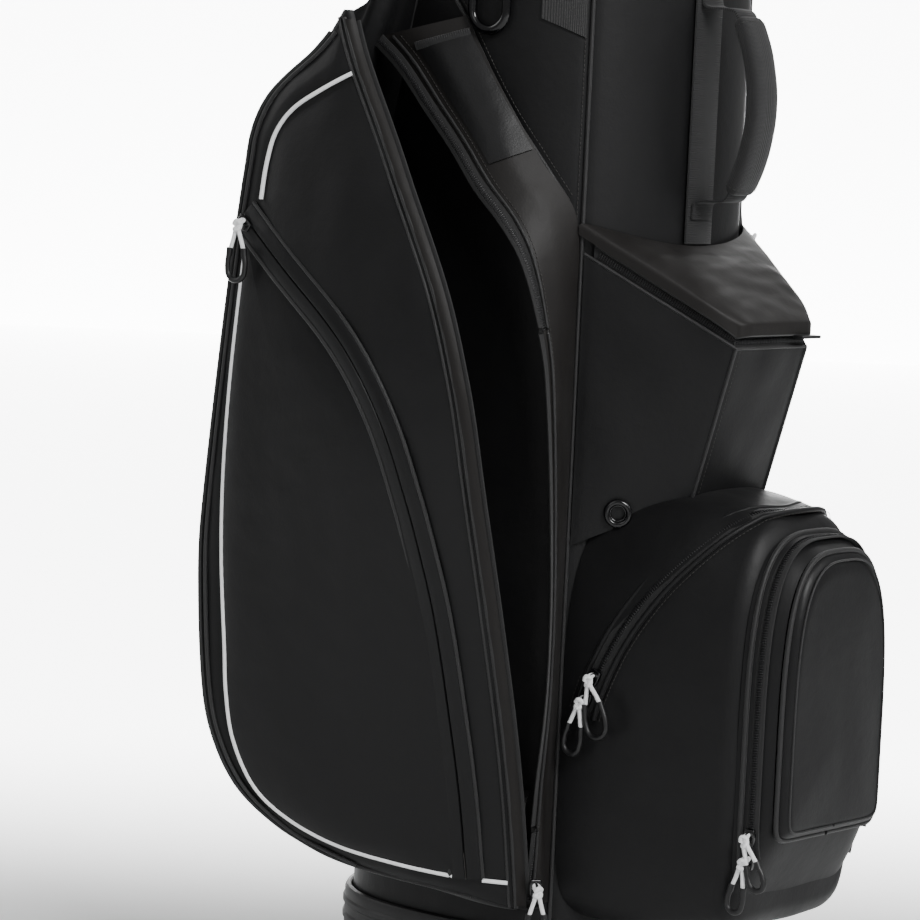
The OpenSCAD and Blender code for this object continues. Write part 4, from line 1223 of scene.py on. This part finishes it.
def lid_place(s, t):
    """s runs from side to side and t from the tube to the hem. The last of each rolls down into the hem."""
    a, w = 2 * s - 1, min(t / 0.92, 1)
    across = max(-1, min(1, a / 0.95))
    down = max(0, (abs(a) - 0.95) / 0.05, (t - 0.92) / 0.08)
    corner = (max(0, abs(across) - 0.7) / 0.3 * max(0, w - 0.75) / 0.25) ** 2
    x = across * lerp(108, MID_W + 5, w) * (1 - 0.09 * corner)
    y = lerp(-tube_front(min(abs(across) * 108, 118)) - 3, MID_Y - 5, w) + 5 * corner
    z = lerp(LID_REAR_Z - 17 * (1 - across ** 2), LID_HEM_Z, w)
    z += 6 * math.sin(math.pi * w) * (1 - across ** 4)
    z -= 8.5 * down + 2 * corner
    wrinkle = soft((x * 0.7, y * 1.5, 5), 17, 1.3) + soft((x, y, 6), 38, 2.2)
    held = min(1, 5 * t) * (1 - abs(across) ** 8) * (1 - w ** 12)
    return Vector((x, y, z)) + Vector((0, -0.45, 0.9)) * wrinkle * held


# The lid takes the lighter copy of the fabric, which is painted light.
lid = cloth_panel("valuables_lid_cloth", 130, 100, lid_place, FABRIC_PAINTED_LIGHT)

# %% [markdown]
# The lid's sag and wrinkles are part of its rule, drawn with slow noise, and aren't simulated. One level of
# subdivision then softens them.

# %% Lid smoothing
modify(lid, "SUBSURF", levels=1, render_levels=1)
modify(lid, "SOLIDIFY", thickness=1.8 * MM, offset=-1)
smooth(lid)
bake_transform(lid)
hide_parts("valuables_lid")
around_lid = [lid_place(0.0, t / 40) for t in range(4, 40)] + [lid_place(i / 60, 1.0) for i in range(61)]
around_lid += [lid_place(1.0, t / 40) for t in range(39, 3, -1)]
outward = ([Vector((-1, -0.3, 0)).normalized()] * 36 + [Vector((0, -1, 0))] * 61
           + [Vector((1, -0.3, 0)).normalized()] * 36)
hem_cord = run("valuables_lid_hem", around_lid, outward, round_cord(1.5), PIPING)
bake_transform(hem_cord)

# %% Rubber tab at the lid's corner
bpy.ops.object.select_all(action="DESELECT")
bpy.ops.mesh.primitive_cube_add(size=1, location=(35 * MM, -230 * MM, 569 * MM))
tab = bpy.context.object
tab.name = "valuables_lid_tab"
tab.scale = (26 * MM, 10 * MM, 2.6 * MM)
bpy.ops.object.transform_apply(location=True, rotation=False, scale=True)
modify(tab, "BEVEL", width=1.0 * MM, segments=3)
tab.data.materials.append(RUBBER)
smooth(tab, 50)
put(tab, "lid", "rubber")

# %% [markdown]
# ## Carry handle
# A flat webbing strap is sewn to the tube at both ends, and a woven sleeve with a foam core is slipped
# over its middle. The sleeve is a grid wrapped round the strap's line: oval where the hand holds it, flat
# at both ends.

# %% Handle
GRIP_OUT, GRIP_HALF, GRIP_Z, GRIP_BOW = 58.5, 69, 750, 18.6


def grip_line(t):
    a = 1 - 2 * t
    return Vector((0, -TUBE_B - GRIP_OUT + GRIP_BOW * a * a, GRIP_Z + GRIP_HALF * a))


def grip_place(s, t):
    ahead = grip_line(t + 0.01) - grip_line(t - 0.01)
    out = ahead.cross(Vector((1, 0, 0))).normalized()
    end = min(1, min(t, 1 - t) / 0.05) ** 0.5
    wide, deep = lerp(13.5, 15.5, end), lerp(4.2, 7.6, end)
    turn = 2 * math.pi * s
    across, lift = signed_power(math.cos(turn), 0.7) * wide, signed_power(math.sin(turn), 0.6) * deep
    lift += soft((across, t * 140, 4), 22, 0.5) * end
    return grip_line(t) + Vector((across, 0, 0)) + out * lift


grip = cloth_panel("handle_sleeve", 48, 120, grip_place, SLEEVE, size=(95, 190))
merge(grip)
pick(grip)
bpy.ops.object.mode_set(mode="EDIT")
bpy.ops.mesh.select_all(action="SELECT")
bpy.ops.mesh.fill_holes(sides=0)
bpy.ops.mesh.select_all(action="SELECT")
bpy.ops.mesh.normals_make_consistent(inside=False)
bpy.ops.object.mode_set(mode="OBJECT")
smooth(grip, 50)
put(grip, "handle", "webbing", "handle_grip")
STRAP = [(-143.6, 92), (-144.4, 82), (-147, 77.5), (-154, 76), (-166, 75.5), (-175, 74), (-179, 69),
         (-181, 60)]
for name, side in (("low", -1), ("high", 1)):
    strap = smooth_line([Vector((0, y, GRIP_Z + side * rise)) for y, rise in STRAP], 2)
    outs = []
    for i, _ in enumerate(strap):
        ahead = strap[min(i + 1, len(strap) - 1)] - strap[max(i - 1, 0)]
        outs.append((Vector((1, 0, 0)).cross(ahead) * -side).normalized())
    webbing = run(f"handle_strap_{name}", strap, outs, flat_band(26, 2.0), WEBBING)
    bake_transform(webbing)
    if side == 1:
        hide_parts("handle_straps")
band = [Vector((0, -TUBE_B - 1.2, z)) for z in range(638, 851, 3)]
put(run("handle_backing_band", band, [Vector((0, -1, 0))] * len(band), flat_band(34, 2.0), WEBBING),
    "bag",
    "webbing", "handle_anchors")
for name, low, high in (("low", 655, 674), ("high", 826, 845)):
    for k, x in enumerate((-14, -11, 11, 14)):
        tack = [Vector((x, -TUBE_B - 2.2, z)) for z in range(low, high, 3)]
        stitches(f"handle_tack_{name}_{k}", tack, [Vector((0, -1, 0))] * len(tack), "bag", "webbing",
                 shift=(0, 0.4))
ends = [[grip_place(i / 40, t) for i in range(41)] for t in (0.035, 0.965)]
for name, ring in zip(("high", "low"), ends):
    middle = sum(ring, Vector()) / len(ring)
    stitches(f"handle_sleeve_stitches_{name}", ring, [(p - middle).normalized() for p in ring], "handle",
             "webbing",
             shift=(0, 0.3))
print("handle sleeve:", len(grip.data.polygons), "faces")

# %% [markdown]
# ## Zip sliders and pulls
# Every zip has the same enamelled slider and the same pull: a white cord looped through the slider's
# bridge, knotted, with its two ends moulded into a rubber loop. The slider is modelled once, facing +X at
# the origin, and copied. The cords and loops are drawn there too, once for each pull, since the loops
# differ in size. All go to the place that their joint gives: the tag's hinge marks the knot, and the slide
# marks the travel.

# %% Slider pattern
KNOT_X = 10.2
bpy.ops.object.select_all(action="DESELECT")
bpy.ops.mesh.primitive_cube_add(size=1, location=(2.3 * MM, 0, 0))
SLIDER = bpy.context.object
SLIDER.name = "slider_pattern"
SLIDER.scale = (3.2 * MM, 9.4 * MM, 14 * MM)
bpy.ops.object.transform_apply(location=True, rotation=False, scale=True)
bpy.ops.object.mode_set(mode="EDIT")
bpy.ops.mesh.select_all(action="SELECT")
bpy.ops.mesh.subdivide(number_cuts=3)
bpy.ops.object.mode_set(mode="OBJECT")
for vertex in SLIDER.data.vertices:
    z = vertex.co.z / (7 * MM)
    vertex.co.y *= 1.08 - 0.34 * max(0, -z) ** 2 - 0.16 * max(0, z) ** 4
    vertex.co.x += 0.5 * MM * (vertex.co.x > 2.3 * MM) * (1 - z * z)
modify(SLIDER, "BEVEL", width=0.7 * MM, segments=3, limit_method="ANGLE")
bpy.ops.object.select_all(action="DESELECT")
bpy.ops.mesh.primitive_torus_add(major_radius=3.9 * MM, minor_radius=1.15 * MM, major_segments=24,
                                 minor_segments=10, location=(4.4 * MM, 0, 0),
                                 rotation=(math.pi / 2, 0, 0))
bridge = bpy.context.object
bpy.ops.object.transform_apply(location=True, rotation=True, scale=True)
bpy.ops.object.select_all(action="DESELECT")
SLIDER.select_set(True)
bridge.select_set(True)
bpy.context.view_layer.objects.active = SLIDER
bpy.ops.object.join()
SLIDER.data.materials.append(ENAMEL)
smooth(SLIDER, 45)


# %% Cord and loop patterns
def tube_line(points, radius, material, name, steps=10):
    """A round cord: a curve through the points, given thickness and turned into a mesh."""
    data = bpy.data.curves.new(name, "CURVE")
    data.dimensions = "3D"
    data.bevel_depth = radius * MM
    data.bevel_resolution = 3
    data.use_fill_caps = True
    spline = data.splines.new("BEZIER")
    spline.bezier_points.add(len(points) - 1)
    for handle, point in zip(spline.bezier_points, points):
        handle.co = Vector(point) * MM
        handle.handle_left_type = handle.handle_right_type = "AUTO"
    data.resolution_u = steps
    data.materials.append(material)
    piece = bpy.data.objects.new(name, data)
    scene.collection.objects.link(piece)
    pick(piece)
    bpy.ops.object.convert(target="MESH")
    smooth(bpy.context.object, 60)
    return bpy.context.object


def joined(name, pieces):
    pick(pieces[0])
    for piece in pieces:
        piece.select_set(True)
    bpy.ops.object.join()
    bpy.context.object.name = name
    return bpy.context.object


def pull_parts(loop):
    """The cord's legs, its knot, and the rubber loop below, hanging from the knot."""
    legs = [tube_line([(KNOT_X, 0.8 * side, 1), (KNOT_X + 0.5, 1.9 * side, -6),
                       (KNOT_X, 0.5 * loop * side, -14),
                       (KNOT_X, 0.84 * loop * side, -23)], 1.75, CORD_WHITE, "leg") for side in (-1, 1)]
    knot = tube_line([(KNOT_X + 1.6, -2.6, -1), (KNOT_X + 2.2, 0.4, 2), (KNOT_X + 0.8, 2.9, 0.6),
                      (KNOT_X - 1.4, 0.8, -2), (KNOT_X + 1.0, -2.2, -4.4), (KNOT_X + 2.2, 1.0, -5),
                      (KNOT_X + 0.6, 2.7, -3), (KNOT_X - 1.4, -0.8, 0.8)], 1.75, CORD_WHITE, "knot")
    low = -27.4 - loop
    ring = [(KNOT_X, 0.84 * loop, -22), (KNOT_X, loop, low + 1.5),
            (KNOT_X, 0.76 * loop, low - 0.66 * loop),
            (KNOT_X, 0, low - loop), (KNOT_X, -0.76 * loop, low - 0.66 * loop),
            (KNOT_X, -loop, low + 1.5),
            (KNOT_X, -0.84 * loop, -22)]
    rubber = tube_line(ring, 2.3, RUBBER, "rubber")
    sockets = [tube_line([(KNOT_X, 0.8 * loop * side, -19.5), (KNOT_X, 0.88 * loop * side, -26)], 2.6,
                         RUBBER, "socket")
               for side in (-1, 1)]
    return legs, knot, rubber, sockets


def cord_loop():
    """The bight of cord through the slider's bridge, up to the knot."""
    return tube_line([(KNOT_X, -1.6, 0), (7.5, -2.1, 1.2), (4.8, -1.6, 2.6), (3.8, 0, 3.0),
                      (4.8, 1.6, 2.6),
                      (7.5, 2.1, 1.2), (KNOT_X, 1.6, 0)], 1.5, CORD_WHITE, "bight")


def copy_to(pattern, name, seat):
    piece = pattern.copy()
    piece.data = pattern.data.copy()
    piece.name = name
    scene.collection.objects.link(piece)
    piece.data.transform(seat)
    return piece


# %% Sliders and pulls in place
JOINTS = {joint["name"]: joint for joint in frame["joints"]}
PULLS = {
    "isotherm": ("isotherm_zip", "isotherm_tag", "isotherm_slider", "isotherm_pull", 9),
    "shoe": ("shoe_zip", "shoe_tag", "shoe_slider", "shoe_pull", 8),
    "valuables": ("valuables_zip", "valuables_tag", "valuables_slider", "valuables_pull", 7),
    "ball_upper": ("ball_zip_high", "ball_tag_high", "ball_slider_upper", "ball_pull_upper", 10),
    "ball_lower": ("ball_zip_low", "ball_tag_low", "ball_slider_lower", "ball_pull_lower", 8),
    "front_upper": ("front_zip_high", "front_tag_high", "front_slider_upper", "front_pull_upper", 7),
    "front_lower": ("front_zip_low", "front_tag_low", "front_slider_lower", "front_pull_lower", 7),
    "right": ("right_zip", "right_tag", "right_slider", "right_pull", 9),
}
for name, (zip_body, tag_body, slider_node, pull_node, loop) in PULLS.items():
    swing, travel = JOINTS[f"{tag_body}_swing"], JOINTS[f"{zip_body}_travel"]
    side = -Vector(swing["axis"])
    facing = side.cross(Vector((0, 0, 1))).normalized()
    knot_at = Vector(swing["pos_m"])
    hang = Matrix((facing, side, facing.cross(side))).transposed().to_4x4()
    hang = Matrix.Translation(knot_at - facing * KNOT_X * MM) @ hang
    rail = Vector(travel["axis"])
    rail = (rail - facing * rail.dot(facing)).normalized()
    rail = -rail if rail.z < -0.05 else rail
    seat = Matrix((facing, rail.cross(facing), rail)).transposed().to_4x4()
    seat = Matrix.Translation(knot_at - facing * KNOT_X * MM) @ seat
    slider = copy_to(SLIDER, f"{name}_slider_body", seat)
    put(slider, zip_body, "zip_metal", slider_node)
    bight = cord_loop()
    bight.name = f"{name}_cord_bight"
    bight.data.transform(hang)
    put(bight, zip_body, "pull_cord")
    legs, knot, rubber, sockets = pull_parts(loop)
    cord = joined(f"{name}_pull_cord", [*legs, knot])
    cord.data.transform(hang)
    put(cord, tag_body, "pull_cord", pull_node)
    grip_loop = joined(f"{name}_pull_loop", [rubber, *sockets])
    grip_loop.data.transform(hang)
    put(grip_loop, tag_body, "rubber")
print("pulls:", len(PULLS))

# %% [markdown]
# ## Small fittings
# An eyelet drains the pocket, a moulded slot passes the cart's strap, and a patch of loop pile holds a
# glove.

# %% Eyelet and cart strap slot
def washer(name, centre, facing, radius, bore, thick, material, stretch=0.0):
    """A ring with rounded lips: a circle swept as a torus, flattened, and stretched into a slot if asked."""
    bpy.ops.object.select_all(action="DESELECT")
    bpy.ops.mesh.primitive_torus_add(major_radius=(radius + bore) / 2 * MM,
                                     minor_radius=(radius - bore) / 2 * MM,
                                     major_segments=64, minor_segments=16)
    piece = bpy.context.object
    piece.name = name
    bpy.ops.object.mode_set(mode="EDIT")
    bpy.ops.transform.resize(value=(1, 1, thick / (radius - bore)))
    bpy.ops.object.mode_set(mode="OBJECT")
    for vertex in piece.data.vertices:
        vertex.co.y += math.copysign(stretch * MM, vertex.co.y) if abs(vertex.co.y) > 1e-7 else 0
    turn = Vector(facing).normalized().to_track_quat("Z", "Y").to_matrix().to_4x4()
    piece.data.transform(Matrix.Translation(Vector(centre) * MM) @ turn)
    piece.data.materials.append(material)
    smooth(piece, 60)
    return piece


eyelet_out = Vector((math.cos(math.radians(217)), math.sin(math.radians(217)), 0))
eyelet_at = Vector((-86, -141, 424)) + eyelet_out * 1.6
put(washer("drain_eyelet_ring", eyelet_at, eyelet_out, 11.5, 6.4, 4.4, GLOSS), "bag", "gloss_black",
    "drain_eyelet")
put(washer("drain_eyelet_inner", eyelet_at - eyelet_out, eyelet_out, 7.2, 5.4, 2.4, ENAMEL), "bag",
    "gloss_black")
slot_at = (-TUBE_A - 2.6, -30, 829)
put(washer("cart_strap_ring", slot_at, (-1, -0.12, 0), 20, 12, 7, GLOSS, 12), "bag", "gloss_black",
    "cart_strap_slot")


def glove_place(s, t):
    degrees = 206 + 17 * s
    return skin_at(degrees, lerp(812 - 14 * s, SKIN_TOP - 3, t), 1.6)


put(cloth_panel("glove_loop_patch", 20, 20, glove_place, LOOP, 1.4), "bag", "loop_patch", "glove_patch")

# %% [markdown]
# ## Right-hand pocket and spine pad
# The clothing pocket mirrors the shoe compartment's height with its zip closed. It is made like the ball
# pocket, as square rings sent to an arched outline. The spine pad is a long cushion with sewn channels.

# %% Right-hand pocket
def right_ring(t, a, b, grow=0):
    nose = 13 * max(0, (t - 0.9) / 0.1) ** 2
    top = lerp(812, 770, t) - nose + grow
    y, z = outline(a, b, 112 - 10 * t - nose + grow, lerp(96, 118, t) + nose - grow, 330, top, 2.4, 4)
    y += 14
    return Vector((lerp(tube_side(min(abs(y), 130)) + 1.5, 196 + 0.42 * y + grow, t), y, z))


def right_place(s, t):
    reach, a, b = square_ring(1 - s, t)
    if reach < 0.62:
        share = reach / 0.62
        rim = right_ring(1, a, b)
        middle = Vector((196 + 0.42 * 14, 14, 420))
        point = middle.lerp(rim, share) + Vector((3.5 * (1 - share ** 2), 0, 0))
    else:
        point = right_ring((1 - reach) / 0.38, a, b, 1.4 * math.sin(math.pi * (reach - 0.62) / 0.38))
    fold = soft((point.x * 1.2, point.y, point.z * 0.45), 60, 2.4) + soft(point, 24, 0.4)
    away = Vector((80 if reach < 0.7 else 0, point.y - 14, (point.z - 420) * 0.3)).normalized()
    return point + fold * min(1, 4 * (1 - reach)) * away


right = cloth_panel("right_pocket_shell", 150, 230, right_place, FABRIC, 2.0)
put(right, "bag", "coated_fabric", "right_pocket")


def right_zip_at(z, out=0):
    v = (z - 330) / (791 - 330) if z > 330 else (330 - z) / (330 - 107)
    n = 2.4 if z > 330 else 4
    y = 14 - (107 + out) * (1 - min(abs(v), 0.999) ** n) ** (1 / n)
    return Vector((lerp(tube_side(min(abs(y), 130)) + 2, 196 + 0.42 * y, 0.5) + 0.4 * out, y - 1.5, z))


line = [right_zip_at(lerp(170, 720, i / 120)) for i in range(121)]
outs = [Vector((0.45, -1, 0)).normalized()] * len(line)
put(run("right_zip_tape_strip", line, outs, flat_band(16, 1.4, -0.4), TAPE), "bag", "zip_tape",
    "right_zip_tape")
teeth("right_zip_teeth", line, outs, "bag", shift=(0, 1.1), pitch=2.2)
for name, side in (("rear", -9.5), ("front", 9.5)):
    edge = [p + across * side for p, across, _, _ in frames_of(line, outs)]
    put(run(f"right_zip_piping_{name}", edge, outs, round_cord(2.2, lift=0.4), PIPING), "bag",
        "piping_black")
ring = [right_ring(0.97, *perimeter(i / 240), 1.5) for i in range(241)]
outs = [Vector((0.8, (p.y - 14) / 160, (p.z - 420) / 500)).normalized() for p in ring]
put(run("right_pocket_piping", ring, outs, round_cord(1.7), PIPING), "bag", "piping_black")
print("right pocket:", len(right.data.polygons), "faces")


# %% Spine pad
def spine_place(s, t):
    x, z = lerp(-38, 38, s), lerp(114, 800, t)
    edge = min(1, min(s, 1 - s) / 0.12, min(t, 1 - t) / 0.014)
    channel = sum(dip(z - k, 4) for k in (228, 342, 457, 571, 686)) + dip(abs(x) - 13, 3)
    lift = 9.5 * math.sin(math.pi / 2 * edge) - 2.6 * min(channel, 1.2) * edge
    lift += soft((x, z * 0.6, 2), 30, 0.8) * edge
    return Vector((-x, tube_front(x) + 0.6 + lift, z))


spine = cloth_panel("spine_pad", 60, 240, spine_place, FABRIC, 0)
put(spine, "bag", "coated_fabric", "spine_panel")
for x in (-38, 38):
    line = [Vector((x, tube_front(x) + 1.2, z)) for z in range(116, 800, 6)]
    name = "left" if x < 0 else "right"
    put(run(f"spine_piping_{name}", line, [Vector((0, 1, 0))] * len(line), round_cord(1.6), PIPING),
        "bag",
        "piping_black")
print("spine pad:", len(spine.data.polygons), "faces")

# %% [markdown]
# ## Finish
# The patterns were only for copying, so they go.

# %% Finish
for pattern in (STITCH, TOOTH, SLIDER):
    bpy.data.objects.remove(pattern)
